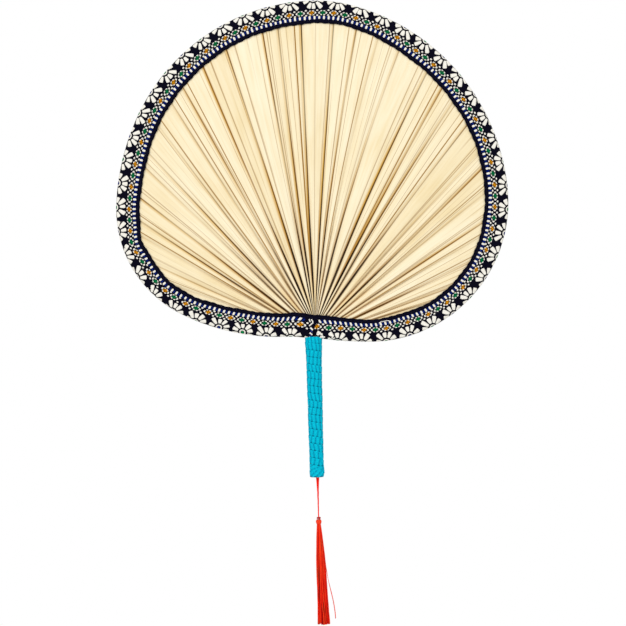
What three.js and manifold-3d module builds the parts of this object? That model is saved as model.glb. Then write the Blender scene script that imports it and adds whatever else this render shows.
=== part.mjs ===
// Palm leaf fan: one pleated leaf with its stalk, a bound rim, a wrapped handle and a hanging tassel.
// Millimetres. +Z runs up the handle, the front faces -Y, +X is to the right seen from the front.
// The origin is the middle of the grip.
import * as THREE from 'three';
import { mergeVertices } from 'three/addons/utils/BufferGeometryUtils.js';
import Module from 'manifold-3d';

const wasm = await Module();
wasm.setup();

// Clearance between pieces that touch on the real fan
const SEAT_GAP = 0.3;

// Rim outline: arcs walked from the top down each side to a short straight run across the neck
const BLADE_RADIUS = 179.3;
const RIGHT_SIDE = {
  top_share: 0.68,
  top_turn: 15.4,
  side_share: 1.083,
  side_turn: 70.5,
  corner_share: 0.7155,
  corner_turn: 96.5,
  base_share: 2.29,
  base_turn: 5,
};
const LEFT_SIDE = {
  top_share: 1.021,
  top_turn: 63,
  side_share: 1.1835,
  side_turn: 23.5,
  corner_share: 0.602,
  corner_turn: 66.1,
  base_share: 1.135,
  base_turn: 31.2,
};
const ARC_STEP = 6;

// Pleated leaf blade
const LEAF_THICKNESS = 0.5;
const PLEATS = 39;
const PLEAT_START = -9;
const PLEAT_END = 186;
const HUB_PLEAT_DEPTH = 7;
const RIM_PLEAT_DEPTH = 0.5;
const HUB_RISE = 11.6;
const HUB_HALF_WIDTH = 9.2;
const HUB_HALF_HEIGHT = 5.5;

// Split-bamboo canes and the folded ribbon round the rim
const CANE_WIDTH = 5;
const CANE_THICKNESS = 1.2;
const RIBBON_WIDTH = 21;
const RIBBON_THICKNESS = 0.7;
const RIBBON_FLANK = 6;
const NECK_TAKE_UP = 1.7;
const LAP_HALF_LENGTH = 8.7;
const LAP_EASE = 27;

// Stalk and the tape wound on it
const GRIP_LENGTH = 126;
const GRIP_NECK_WIDTH = 15.6;
const GRIP_TOP_WIDTH = 14.2;
const GRIP_END_WIDTH = 12.4;
const FLARE_LENGTH = 26;
const STALK_DEPTH_SHARE = 0.82;
const STALK_END_ROUND = 0.8;
const NECK_ROOM = 2.2;
const HUB_TIP_HALF_DEPTH = 1.2;
const TAPE_WIDTH = 6;
const TAPE_THICKNESS = 1.2;
const TAPE_TURN_GAP = 0.6;

// Cord and tassel
const CORD_DIAMETER = 1.6;
const CORD_LENGTH = 36;
const CORD_OFFSET = 0.6;
const CORD_HOLE_RADIUS = 2.3;
const CORD_HOLE_DEPTH = 12;
const ROOT_KNOT_HEIGHT = 4.5;
const KNOT_RADIUS = 1.6;
const KNOT_HEIGHT = 1.4;
const HEAD_RADIUS = 2.6;
const TASSEL_LENGTH = 97;
const TASSEL_NECK_RADIUS = 1.8;
const TASSEL_END_RADIUS = 5.85;
const TASSEL_LEAN = 2.5;
const NECK_THREAD_DIAMETER = 0.7;
const NECK_THREAD_GAP = 0.47;
const NECK_THREAD_TURNS = 3;

const GRIP_TOP = GRIP_LENGTH / 2;
const GRIP_END = -GRIP_LENGTH / 2;
const NECK_Z = GRIP_TOP + NECK_ROOM;
const HUB_Z = NECK_Z + HUB_RISE;
const LEAF_HALF = (RIM_PLEAT_DEPTH + LEAF_THICKNESS) / 2;
const CANE_INNER = LEAF_HALF + SEAT_GAP;
const CANE_OUTER = CANE_INNER + CANE_THICKNESS;
const RIBBON_INNER = CANE_OUTER + SEAT_GAP;
const CANE_INSET = RIBBON_INNER + RIBBON_THICKNESS;
const CANE_INSET_END = CANE_INSET + CANE_WIDTH;
const LEAF_INSET = RIBBON_THICKNESS + 2 * SEAT_GAP;
const LAP_LIFT = RIBBON_THICKNESS + SEAT_GAP;

const { degToRad, lerp, smoothstep } = THREE.MathUtils;
const ramp = (x, from, to) => Math.min(1, Math.max(0, (x - from) / (to - from)));

// A closed solid through rings of points, each ring a closed loop; flat holds the ring as it lies in
// its own plane, for the end caps
function loft(rings, flat) {
  const count = rings[0].length;
  const positions = rings.flat().flatMap((p) => [p.x, p.y, p.z]);
  const index = [];
  for (let r = 0; r + 1 < rings.length; r++) {
    for (let i = 0; i < count; i++) {
      const a = r * count + i;
      const b = r * count + (i + 1) % count;
      index.push(a, b, b + count, a, b + count, a + count);
    }
  }
  const last = (rings.length - 1) * count;
  const turned = THREE.ShapeUtils.isClockWise(flat);
  for (const cap of THREE.ShapeUtils.triangulateShape(flat, [])) {
    const [a, b, c] = turned ? cap.reverse() : cap;
    index.push(c, b, a, last + a, last + b, last + c);
  }
  return indexed(positions, index);
}

function indexed(positions, index) {
  const geometry = new THREE.BufferGeometry();
  geometry.setAttribute('position', new THREE.Float32BufferAttribute(positions, 3));
  geometry.setIndex(index);
  return geometry;
}

// Six times the signed volume, to tell which way the faces look
function signedVolume(geometry) {
  const p = geometry.attributes.position;
  const corner = [new THREE.Vector3(), new THREE.Vector3(), new THREE.Vector3()];
  let sum = 0;
  for (let i = 0; i < geometry.index.count; i += 3) {
    corner.forEach((v, k) => v.fromBufferAttribute(p, geometry.index.getX(i + k)));
    sum += corner[0].dot(corner[1].clone().cross(corner[2]));
  }
  return sum;
}

function facingOut(geometry) {
  if (signedVolume(geometry) > 0) return geometry;
  const index = Array.from(geometry.index.array);
  for (let i = 0; i < index.length; i += 3) {
    [index[i], index[i + 2]] = [index[i + 2], index[i]];
  }
  geometry.setIndex(index);
  return geometry;
}

// The same surface with its shared corners merged and its faces looking out
function welded(geometry) {
  const bare = new THREE.BufferGeometry();
  bare.setAttribute('position', geometry.attributes.position);
  if (geometry.index) bare.setIndex(geometry.index);
  return facingOut(mergeVertices(bare));
}

function toManifold(geometry) {
  const surface = welded(geometry);
  return new wasm.Manifold(new wasm.Mesh({
    numProp: 3,
    vertProperties: new Float32Array(surface.attributes.position.array),
    triVerts: new Uint32Array(surface.index.array),
  }));
}

function fromManifold(solid) {
  const mesh = solid.getMesh();
  return indexed(Array.from(mesh.vertProperties), Array.from(mesh.triVerts));
}

// Rim outline

// One side of the rim from the top down to the neck, as points in a frame whose origin is the top
function sideWalk(side, hand) {
  const arcs = [
    [BLADE_RADIUS * side.top_share, side.top_turn],
    [BLADE_RADIUS * side.side_share, side.side_turn],
    [BLADE_RADIUS * side.corner_share, side.corner_turn],
    [BLADE_RADIUS * side.base_share, side.base_turn],
  ];
  const points = [new THREE.Vector2()];
  let heading = 0;
  for (const [radius, turn] of arcs) {
    const from = points.at(-1);
    const steps = Math.ceil(turn / ARC_STEP);
    for (let i = 1; i <= steps; i++) {
      const angle = heading + degToRad(turn) * i / steps;
      points.push(new THREE.Vector2(
        from.x + hand * radius * (Math.sin(angle) - Math.sin(heading)),
        from.y + radius * (Math.cos(angle) - Math.cos(heading)),
      ));
    }
    heading += degToRad(turn);
  }
  return points;
}

// The closed rim, from the middle of the neck up the right side, over the top and down the left
function rimPoints() {
  const right = sideWalk(RIGHT_SIDE, 1);
  const left = sideWalk(LEFT_SIDE, -1);
  const across = right.at(-1).clone().sub(left.at(-1));
  const middle = left.at(-1).clone().addScaledVector(across, 0.5);
  const lap = across.clone().setLength(LAP_HALF_LENGTH);
  const neck = new THREE.Vector2(0, NECK_Z);
  const shift = neck.clone().sub(middle);
  const placed = [...right.reverse(), ...left.slice(1)].map((p) => p.clone().add(shift));
  return [neck, neck.clone().add(lap), ...placed, neck.clone().sub(lap)];
}

const RIM = rimPoints();

// Inward normals, longer at a corner so that an inset line stays parallel to the rim
const RIM_NORMALS = RIM.map((point, i) => {
  const before = point.clone().sub(RIM.at(i - 1)).normalize();
  const after = RIM[(i + 1) % RIM.length].clone().sub(point).normalize();
  const sum = new THREE.Vector2(-before.y - after.y, before.x + after.x);
  return sum.divideScalar(1 + before.dot(after));
});

const rimInset = (i, inset) => RIM[i].clone().addScaledVector(RIM_NORMALS[i], inset);
const LEAF_EDGE = RIM.map((_, i) => rimInset(i, LEAF_INSET));

function distanceToRim(point) {
  const closest = new THREE.Vector3();
  const line = new THREE.Line3();
  const probe = new THREE.Vector3(point.x, point.y, 0);
  let least = Infinity;
  RIM.forEach((a, i) => {
    const b = RIM[(i + 1) % RIM.length];
    line.start.set(a.x, a.y, 0);
    line.end.set(b.x, b.y, 0);
    line.closestPointToPoint(probe, true, closest);
    least = Math.min(least, closest.distanceTo(probe));
  });
  return least;
}

// How far the leaf's edge lies from a point along a direction
function reachOf(from, direction) {
  let reach = 0;
  LEAF_EDGE.forEach((a, i) => {
    const edge = LEAF_EDGE[(i + 1) % LEAF_EDGE.length].clone().sub(a);
    const offset = a.clone().sub(from);
    const cross = direction.cross(edge);
    if (cross === 0) return;
    const along = offset.cross(edge) / cross;
    const share = offset.cross(direction) / cross;
    if (share >= 0 && share <= 1) reach = Math.max(reach, along);
  });
  return reach;
}

// Pleated leaf

// A pleat rises over a broad face with a faint crease in it and drops over a narrow steep one
const PLEAT_PROFILE_SHARES = [[0, 0], [0.34, 0.56], [0.7, 1]];
const MIDDLE_SHARE = 0.5;
const PLEAT_WANDER_SHARE = 0.12;
const PLEAT_WANDER_STEP = 2.1;
const PLEAT_DEPTH_WANDER_SHARE = 0.2;
const DEPTH_WANDER_STEP = 1.7;
const OPEN_RING_SHARES = [0.08, 0.2, 0.36, 0.55, 0.76];
const DEPTH_FALL = 1.2;
const BIND_SLOPE_SHARE = 0.6;
const MAX_STEEPNESS = 3;
const FOLD_SAMPLES = 60;
const CROSSING_HALVINGS = 10;

// Depth of the pleats: deep at the hub, pressed flat at the rim and where the ribbon grips them
function pleatDepth(share, toRim) {
  const grown = (HUB_PLEAT_DEPTH - RIM_PLEAT_DEPTH) * (1 - share) ** DEPTH_FALL;
  const room = Math.max(0, toRim - RIBBON_WIDTH - LEAF_INSET) * BIND_SLOPE_SHARE;
  return RIM_PLEAT_DEPTH + Math.min(grown, room);
}

// Distances along one fold: the hub, where it leaves the ribbon, rings between, the ribbon, the edge
function foldStops(from, direction, reach) {
  const grip = RIBBON_WIDTH + LEAF_INSET;
  const isOpen = (along) => distanceToRim(from.clone().addScaledVector(direction, along)) > grip;
  const samples = Array.from({ length: FOLD_SAMPLES }, (_, i) => reach * i / FOLD_SAMPLES);
  const open = samples.filter(isOpen);
  const step = reach / FOLD_SAMPLES;
  const first = open.length ? crossing(isOpen, open[0], open[0] - step) : reach / 3;
  const last = open.length ? crossing(isOpen, open.at(-1), open.at(-1) + step) : reach * 2 / 3;
  return [0, first, ...OPEN_RING_SHARES.map((share) => lerp(first, last, share)), last, reach];
}

// Where a fold passes from the open leaf to the covered one, halving the stretch between the two
function crossing(isOpen, open, covered) {
  for (let i = 0; i < CROSSING_HALVINGS; i++) {
    const middle = (open + covered) / 2;
    if (isOpen(middle)) open = middle;
    else covered = middle;
  }
  return open;
}

function leafBlade() {
  const columns = [];
  const pitch = (PLEAT_END - PLEAT_START) / PLEATS;
  for (let i = 0; i <= PLEATS; i++) {
    for (const [share, rise] of i < PLEATS ? PLEAT_PROFILE_SHARES : [[0, 0]]) {
      const wander = i > 0 && i < PLEATS ? PLEAT_WANDER_SHARE * Math.sin(PLEAT_WANDER_STEP * i) : 0;
      const angle = degToRad(PLEAT_START + pitch * (i + share + wander));
      const swell = 1 - PLEAT_DEPTH_WANDER_SHARE * (1 + Math.sin(DEPTH_WANDER_STEP * i)) / 2;
      columns.push({ angle, rise: (rise - MIDDLE_SHARE) * swell });
    }
  }
  const front = [];
  const back = [];
  for (const { angle, rise } of columns) {
    const direction = new THREE.Vector2(Math.cos(angle), Math.sin(angle));
    const from = new THREE.Vector2(HUB_HALF_WIDTH * direction.x, HUB_Z + HUB_HALF_HEIGHT * direction.y);
    const reach = reachOf(from, direction);
    const stops = foldStops(from, direction, reach);
    front.push([]);
    back.push([]);
    for (const along of stops) {
      const place = from.clone().addScaledVector(direction, along);
      const depth = pleatDepth(along / reach, distanceToRim(place));
      const pitchHere = degToRad(pitch) * (along + HUB_HALF_HEIGHT);
      const steepness = Math.min(MAX_STEEPNESS, Math.hypot(1, (depth - RIM_PLEAT_DEPTH) / pitchHere));
      const half = LEAF_THICKNESS * steepness / 2;
      front.at(-1).push(new THREE.Vector3(place.x, -rise * depth - half, place.y));
      back.at(-1).push(new THREE.Vector3(place.x, -rise * depth + half, place.y));
    }
  }
  return sheet(front, back);
}

// A closed sheet between two grids of points
function sheet(front, back) {
  const rows = front[0].length;
  const size = front.length * rows;
  const positions = [...front.flat(), ...back.flat()].flatMap((p) => [p.x, p.y, p.z]);
  const index = [];
  const at = (column, row) => column * rows + row;
  for (let c = 0; c + 1 < front.length; c++) {
    for (let r = 0; r + 1 < rows; r++) {
      const [a, b, d, e] = [at(c, r), at(c + 1, r), at(c + 1, r + 1), at(c, r + 1)];
      index.push(a, b, d, a, d, e, size + d, size + b, size + a, size + e, size + d, size + a);
    }
  }
  const border = [];
  for (let c = 0; c < front.length; c++) border.push(at(c, 0));
  for (let r = 1; r < rows; r++) border.push(at(front.length - 1, r));
  for (let c = front.length - 2; c >= 0; c--) border.push(at(c, rows - 1));
  for (let r = rows - 2; r > 0; r--) border.push(at(0, r));
  border.forEach((a, i) => {
    const b = border[(i + 1) % border.length];
    index.push(b, a, size + a, b, size + a, size + b);
  });
  return indexed(positions, index);
}

// Rim canes

function caneRing(i, hand) {
  const corners = [
    [CANE_INSET, CANE_INNER],
    [CANE_INSET, CANE_OUTER],
    [CANE_INSET_END, CANE_OUTER],
    [CANE_INSET_END, CANE_INNER],
  ];
  return corners.map(([inset, y]) => {
    const place = rimInset(i, inset);
    return new THREE.Vector3(place.x, hand * y, place.y);
  });
}

function rimCane(hand) {
  const rings = [];
  for (let i = 2; i < RIM.length - 1; i++) rings.push(caneRing(i, hand));
  const square = [[0, 0], [0, 1], [1, 1], [1, 0]].map(([x, y]) => new THREE.Vector2(x, y));
  return loft(rings, square);
}

// Stalk

const STALK_TOP_HALF = GRIP_TOP_WIDTH / 2 - TAPE_THICKNESS - SEAT_GAP;
const STALK_END_HALF = GRIP_END_WIDTH / 2 - TAPE_THICKNESS - SEAT_GAP;
const HEAD_HALF_WIDTH = HUB_HALF_WIDTH - SEAT_GAP;
const HEAD_HALF_HEIGHT = HUB_HALF_HEIGHT - SEAT_GAP;
const HEAD_TIP_Z = HUB_Z + HEAD_HALF_HEIGHT;

const STALK_FLARE = (GRIP_NECK_WIDTH - GRIP_TOP_WIDTH) / 2;
const FLARE_START = GRIP_TOP - FLARE_LENGTH;

// The shaft tapers evenly and flares below the blade
function stalkHalfWidth(z) {
  const along = (Math.min(z, NECK_Z) - GRIP_END) / GRIP_LENGTH;
  return lerp(STALK_END_HALF, STALK_TOP_HALF, along) + STALK_FLARE * ramp(z, FLARE_START, GRIP_TOP) ** 2;
}

function stalkHalfDepth(z) {
  const grip = stalkHalfWidth(z) * STALK_DEPTH_SHARE;
  const flattening = Math.max(0, (z - GRIP_TOP) / (HEAD_TIP_Z - GRIP_TOP));
  return lerp(grip, HUB_TIP_HALF_DEPTH, flattening);
}

const STALK_SIDES = 24;

function ovalRing(z, halfWidth, halfDepth) {
  return Array.from({ length: STALK_SIDES }, (_, i) => {
    const angle = 2 * Math.PI * i / STALK_SIDES;
    return new THREE.Vector3(halfWidth * Math.cos(angle), halfDepth * Math.sin(angle), z);
  });
}

const unitCircle = (sides) => Array.from({ length: sides }, (_, i) => {
  const angle = 2 * Math.PI * i / sides;
  return new THREE.Vector2(Math.cos(angle), Math.sin(angle));
});

// The stalk's end is rounded, its shaft tapers, and its head spreads into the leaf's hub
function leafStalk() {
  const rings = [];
  const roundSteps = 3;
  for (let i = 0; i <= roundSteps; i++) {
    const angle = Math.PI / 2 * i / roundSteps;
    const inset = STALK_END_ROUND * (1 - Math.sin(angle));
    const z = GRIP_END + STALK_END_ROUND * (1 - Math.cos(angle));
    rings.push(ovalRing(z, stalkHalfWidth(z) - inset, stalkHalfDepth(z) - inset));
  }
  const flareSteps = 5;
  for (let i = 0; i <= flareSteps; i++) {
    const z = lerp(FLARE_START, GRIP_TOP, i / flareSteps);
    rings.push(ovalRing(z, stalkHalfWidth(z), stalkHalfDepth(z)));
  }
  const spreadSteps = 4;
  for (let i = 0; i < spreadSteps; i++) {
    const z = lerp(NECK_Z, HUB_Z, i / spreadSteps);
    const width = lerp(stalkHalfWidth(NECK_Z), HEAD_HALF_WIDTH, smoothstep(i, 0, spreadSteps));
    rings.push(ovalRing(z, width, stalkHalfDepth(z)));
  }
  const headSteps = 5;
  for (let i = 0; i < headSteps; i++) {
    const angle = Math.PI / 2 * i / headSteps;
    const z = HUB_Z + HEAD_HALF_HEIGHT * Math.sin(angle);
    rings.push(ovalRing(z, HEAD_HALF_WIDTH * Math.cos(angle), stalkHalfDepth(z)));
  }
  const stalk = toManifold(loft(rings, unitCircle(STALK_SIDES)));
  const hole = new THREE.CylinderGeometry(CORD_HOLE_RADIUS, CORD_HOLE_RADIUS, 2 * CORD_HOLE_DEPTH, STALK_SIDES);
  hole.rotateX(Math.PI / 2).translate(CORD_OFFSET, 0, GRIP_END);
  return fromManifold(stalk.subtract(toManifold(hole)));
}

// Ribbon folded over the rim

const NOSE_STEPS = 4;
const CANE_PAST = CANE_INSET_END + SEAT_GAP;
const NECK_RUN_SHARE = 1.5;
const NECK_RUN = NECK_RUN_SHARE * LAP_HALF_LENGTH;

// Half the room inside the fold: over the canes and the leaf, or at the neck over the stalk
function roomInside(inset, neck) {
  const flank = ramp(inset, CANE_PAST, CANE_PAST + RIBBON_FLANK);
  const onRim = lerp(RIBBON_INNER, CANE_INNER, flank);
  const onStalk = stalkHalfDepth(NECK_Z + inset) + SEAT_GAP;
  return lerp(onRim, Math.max(onRim, onStalk), neck);
}

// The folded section as pairs of inset and height: the outside face, then the inside one
function ribbonSection(neck, lift) {
  const room = roomInside(0, neck) + lift;
  const nose = room + RIBBON_THICKNESS;
  const legInsets = [RIBBON_WIDTH - neck * NECK_TAKE_UP, CANE_PAST + RIBBON_FLANK, CANE_PAST];
  const face = (radius, extra) => {
    const leg = legInsets.map((inset) => [inset, roomInside(inset, neck) + lift + extra]);
    const bend = [];
    for (let i = 0; i <= NOSE_STEPS; i++) {
      const angle = Math.PI / 2 - Math.PI * i / NOSE_STEPS;
      bend.push([nose - radius * Math.cos(angle) - lift, radius * Math.sin(angle)]);
    }
    return [...leg, ...bend, ...leg.slice().reverse().map(([inset, y]) => [inset, -y])];
  };
  return [...face(nose, RIBBON_THICKNESS), ...face(room, 0).reverse()];
}

function rimRibbon() {
  const order = [RIM.length - 1, ...RIM.keys(), 0, 1];
  let travelled = 0;
  const fromNeck = RIM.map((point, i) => {
    travelled += i ? point.distanceTo(RIM[i - 1]) : 0;
    return travelled;
  });
  const total = travelled + LAP_HALF_LENGTH;
  const rings = order.map((i, place) => {
    const run = Math.min(fromNeck[i], total - fromNeck[i]);
    const neck = 1 - smoothstep(run, NECK_RUN, NECK_RUN + LAP_EASE);
    const lift = place > RIM.length - 1 ? LAP_LIFT : 0;
    return ribbonSection(neck, lift).map(([inset, y]) => {
      const at = rimInset(i, inset);
      return new THREE.Vector3(at.x, y, at.y);
    });
  });
  const flat = ribbonSection(0, 0).map(([inset, y]) => new THREE.Vector2(inset, y));
  const band = toManifold(loft(rings, flat));
  return fromManifold(band.subtract(stalkPassage()));
}

// Room for the stalk through the fold at the neck
function stalkPassage() {
  const rings = [-1, 0, 1].map((step) => {
    const z = NECK_Z + step * RIBBON_FLANK;
    return ovalRing(z, stalkHalfWidth(z) + SEAT_GAP, stalkHalfDepth(z) + SEAT_GAP);
  });
  return toManifold(loft(rings, unitCircle(STALK_SIDES)));
}

// Windings

const TURN_STEPS = 24;

// A flat or round strand wound down in one unbroken helix with straight ends; centre(angle, z) gives
// a point on the path
function winding(top, bottom, pitch, centre, section, lead) {
  const steps = Math.round(TURN_STEPS * (top - bottom) / pitch);
  const path = [];
  for (let i = 0; i <= steps; i++) {
    path.push(centre(2 * Math.PI * i / TURN_STEPS, lerp(top, bottom, i / steps)));
  }
  const beyond = (a, b) => a.clone().add(a.clone().sub(b).setLength(lead));
  path.unshift(beyond(path[0], path[1]));
  path.push(beyond(path.at(-1), path.at(-2)));
  const rings = path.map((point, i) => {
    const along = path[Math.min(i + 1, path.length - 1)].clone().sub(path[Math.max(i - 1, 0)]).normalize();
    const out = new THREE.Vector3(along.y, -along.x, 0).normalize();
    const across = out.clone().cross(along);
    return section.map(([side, lift]) => point.clone().addScaledVector(across, side).addScaledVector(out, lift));
  });
  return rings;
}

// Least distance between points of one turn and the next
function leastSelfGap(rings) {
  let least = Infinity;
  for (let i = 0; i + TURN_STEPS / 2 < rings.length; i++) {
    for (let j = i + TURN_STEPS / 2; j < Math.min(rings.length, i + 2 * TURN_STEPS); j++) {
      for (const a of rings[i]) {
        for (const b of rings[j]) least = Math.min(least, a.distanceTo(b));
      }
    }
  }
  return least;
}

const TAPE_PITCH = TAPE_WIDTH + TAPE_TURN_GAP;
const TAPE_EDGE_SHARE = 0.07;

function handleTape() {
  const halfWidth = TAPE_WIDTH / 2;
  const halfThick = TAPE_THICKNESS / 2;
  const edge = halfWidth - TAPE_WIDTH * TAPE_EDGE_SHARE;
  const section = [
    [-edge, -halfThick],
    [edge, -halfThick],
    [halfWidth, 0],
    [edge, halfThick],
    [-edge, halfThick],
    [-halfWidth, 0],
  ];
  const off = SEAT_GAP + halfThick;
  const centre = (angle, z) => {
    const width = stalkHalfWidth(z);
    const depth = stalkHalfDepth(z);
    const out = new THREE.Vector2(Math.cos(angle) / width, Math.sin(angle) / depth).setLength(off);
    return new THREE.Vector3(width * Math.cos(angle) + out.x, depth * Math.sin(angle) + out.y, z);
  };
  const top = GRIP_TOP - halfWidth;
  const bottom = GRIP_END + halfWidth;
  const rings = winding(top, bottom, TAPE_PITCH, centre, section, TAPE_THICKNESS);
  console.log(`handle_tape least gap to itself ${leastSelfGap(rings).toFixed(2)} mm`);
  return loft(rings, section.map(([x, y]) => new THREE.Vector2(x, y)));
}

// Cord and tassel, in a frame whose origin is where the cord leaves the stalk

const CORD_RADIUS = CORD_DIAMETER / 2;
const SWING_DROP_SHARE = 1.5;
const SWING_DROP = SWING_DROP_SHARE * CORD_RADIUS;
const CORD_TOP = CORD_RADIUS - SWING_DROP;
const CORD_END = CORD_TOP - CORD_LENGTH;
const KNOT_TOP = CORD_END - SEAT_GAP;
const HEAD_TOP = KNOT_TOP - KNOT_HEIGHT - SEAT_GAP;
const HEAD_Z = HEAD_TOP - HEAD_RADIUS;
const TASSEL_END = HEAD_TOP - TASSEL_LENGTH;
const CORD_SIDES = 8;
const CORD_STEP_SHARE = 2.5;
const KNOT_SIDES = 16;

function tasselCord() {
  const section = new THREE.Shape(unitCircle(CORD_SIDES).map((p) => p.multiplyScalar(CORD_RADIUS)));
  const path = new THREE.LineCurve3(new THREE.Vector3(0, 0, CORD_TOP), new THREE.Vector3(0, 0, CORD_END));
  const steps = Math.round(CORD_LENGTH / (CORD_STEP_SHARE * CORD_DIAMETER));
  return new THREE.ExtrudeGeometry(section, { steps, extrudePath: path, bevelEnabled: false });
}

// A round-sided knot that starts and ends on its axis
function knot(top, height, radius) {
  const steps = 6;
  const profile = [new THREE.Vector2(0, top - height)];
  for (let i = 0; i <= steps; i++) {
    const angle = Math.PI * (i / steps - MIDDLE_SHARE);
    const out = lerp(CORD_RADIUS, radius, Math.cos(angle));
    profile.push(new THREE.Vector2(out, top - height / 2 + height / 2 * Math.sin(angle)));
  }
  profile.push(new THREE.Vector2(0, top));
  return new THREE.LatheGeometry(profile, KNOT_SIDES).rotateX(Math.PI / 2);
}

// The cord's knotted upper end, held in the stalk's hole, with the stub that reaches its mouth
function cordRootKnot() {
  const top = CORD_HOLE_DEPTH - SEAT_GAP;
  const ball = toManifold(knot(top, ROOT_KNOT_HEIGHT, CORD_HOLE_RADIUS - SEAT_GAP));
  const length = top - ROOT_KNOT_HEIGHT / 2;
  const stub = new THREE.CylinderGeometry(CORD_RADIUS, CORD_RADIUS, length, CORD_SIDES);
  stub.rotateX(Math.PI / 2).translate(0, 0, length / 2);
  return fromManifold(ball.add(toManifold(stub)));
}

// The tassel's head is bound in thread from a dome down to a straight neck, all heights from its middle
const THREAD_RADIUS = NECK_THREAD_DIAMETER / 2;
const THREAD_SPAN = NECK_THREAD_TURNS * (NECK_THREAD_DIAMETER + NECK_THREAD_GAP);
const BOUND_RADIUS = HEAD_RADIUS - THREAD_RADIUS;
const UNDER_THREAD = THREAD_RADIUS + SEAT_GAP;
const NECK_END = HEAD_Z - THREAD_SPAN / 2 - NECK_THREAD_DIAMETER;

// Radius of the thread's centre line at a height over the head's middle
const threadReach = (height) => Math.sqrt(BOUND_RADIUS ** 2 - Math.max(0, height) ** 2);

// Outline of the skirt as shares of its length down and of its growth, and its flutes and locks
const SKIRT_SHARES = [[0, 0], [0.15, 0.2], [0.35, 0.42], [0.5, 0.49], [0.66, 0.57], [0.83, 0.79], [1, 1]];
const TASSEL_FLUTES = 15;
const FLUTE_SHARE = 0.07;
const LOCKS = 5;
const LOCK_SHARE = 0.08;
const FLUTE_START_SHARE = 0.3;

function tasselStrands() {
  const stops = [];
  const headSteps = 4;
  for (let i = headSteps; i >= 0; i--) {
    const height = THREAD_SPAN / 2 * i / headSteps;
    stops.push([HEAD_Z + height, threadReach(height) - UNDER_THREAD, 0]);
  }
  const [crownZ, crownRadius] = stops[0];
  stops.unshift([crownZ + THREAD_RADIUS, crownRadius - THREAD_RADIUS, 0]);
  stops.push([NECK_END + THREAD_RADIUS, BOUND_RADIUS - UNDER_THREAD, 0]);
  for (const [down, out] of SKIRT_SHARES) {
    stops.push([lerp(NECK_END, TASSEL_END, down), lerp(TASSEL_NECK_RADIUS, TASSEL_END_RADIUS, out), down]);
  }
  const sides = 2 * TASSEL_FLUTES;
  const rings = stops.map(([z, radius, down]) => Array.from({ length: sides }, (_, i) => {
    const angle = 2 * Math.PI * i / sides;
    const flute = i % 2 ? -FLUTE_SHARE : FLUTE_SHARE;
    const lock = LOCK_SHARE * Math.cos(LOCKS * angle + Math.PI / 2);
    const out = radius * (1 + (flute + lock) * smoothstep(down, 0, FLUTE_START_SHARE));
    return new THREE.Vector3(out * Math.cos(angle) + TASSEL_LEAN * down, out * Math.sin(angle), z);
  }));
  return loft(rings, unitCircle(sides));
}

function tasselNeckThread() {
  const section = unitCircle(6).map((p) => [p.x * THREAD_RADIUS, p.y * THREAD_RADIUS]);
  const centre = (angle, z) => {
    const out = threadReach(z - HEAD_Z);
    return new THREE.Vector3(out * Math.cos(angle), out * Math.sin(angle), z);
  };
  const top = HEAD_Z + THREAD_SPAN / 2;
  const pitch = NECK_THREAD_DIAMETER + NECK_THREAD_GAP;
  const rings = winding(top, top - THREAD_SPAN, pitch, centre, section, NECK_THREAD_DIAMETER);
  console.log(`tassel_neck_thread least gap to itself ${leastSelfGap(rings).toFixed(2)} mm`);
  return loft(rings, section.map(([x, y]) => new THREE.Vector2(x, y)));
}

// Assembly

const finish = (color, roughness) => new THREE.MeshStandardMaterial({ color, roughness, metalness: 0 });
const LEAF = finish(0xe6d7a8, 0.6);
const STALK = finish(0xc7a873, 0.7);
const CANE = finish(0xb8955c, 0.6);
const RIBBON = finish(0x15162c, 0.8);
const TAPE = finish(0x18b4cd, 0.5);
const RED = finish(0xd6202b, 0.6);
const DARK_RED = finish(0x8e1219, 0.7);

function piece(name, geometry, material) {
  const mesh = new THREE.Mesh(welded(geometry), material);
  mesh.name = name;
  return mesh;
}

const fan = new THREE.Group();
fan.add(
  piece('leaf_blade', leafBlade(), LEAF),
  piece('leaf_stalk', leafStalk(), STALK),
  piece('rim_cane_front', rimCane(-1), CANE),
  piece('rim_cane_back', rimCane(1), CANE),
  piece('rim_ribbon', rimRibbon(), RIBBON),
  piece('handle_tape', handleTape(), TAPE),
);

const tassel = new THREE.Group();
tassel.position.set(CORD_OFFSET, 0, GRIP_END);
tassel.add(
  piece('cord_root_knot', cordRootKnot(), RED),
  piece('tassel_cord', tasselCord(), RED),
  piece('tassel_knot', knot(KNOT_TOP, KNOT_HEIGHT, KNOT_RADIUS), DARK_RED),
  piece('tassel_strands', tasselStrands(), RED),
  piece('tassel_neck_thread', tasselNeckThread(), RED),
);
fan.add(tassel);

export default fan;
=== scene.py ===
"""Palm leaf fan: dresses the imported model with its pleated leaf, woven ribbon, wound tape and tassel."""

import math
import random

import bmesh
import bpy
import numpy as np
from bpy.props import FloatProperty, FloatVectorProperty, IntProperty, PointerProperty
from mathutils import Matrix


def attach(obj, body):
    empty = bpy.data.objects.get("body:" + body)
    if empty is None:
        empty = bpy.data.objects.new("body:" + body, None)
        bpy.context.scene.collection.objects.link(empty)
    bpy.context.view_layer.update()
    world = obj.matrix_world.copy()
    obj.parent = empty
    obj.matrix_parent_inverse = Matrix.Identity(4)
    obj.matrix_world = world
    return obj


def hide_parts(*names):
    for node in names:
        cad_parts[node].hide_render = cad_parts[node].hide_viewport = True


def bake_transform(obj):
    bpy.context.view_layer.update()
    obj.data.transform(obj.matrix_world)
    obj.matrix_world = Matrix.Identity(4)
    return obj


bl_info = {
    "name": "Palm leaf fan",
    "version": (1, 0, 0),
    "blender": (4, 5, 0),
    "location": "View3D > Sidebar > Palm fan",
    "description": "Builds the leaf, figured ribbon, wound handle and tassel of a palm leaf fan",
    "category": "Add Mesh",
}

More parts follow.
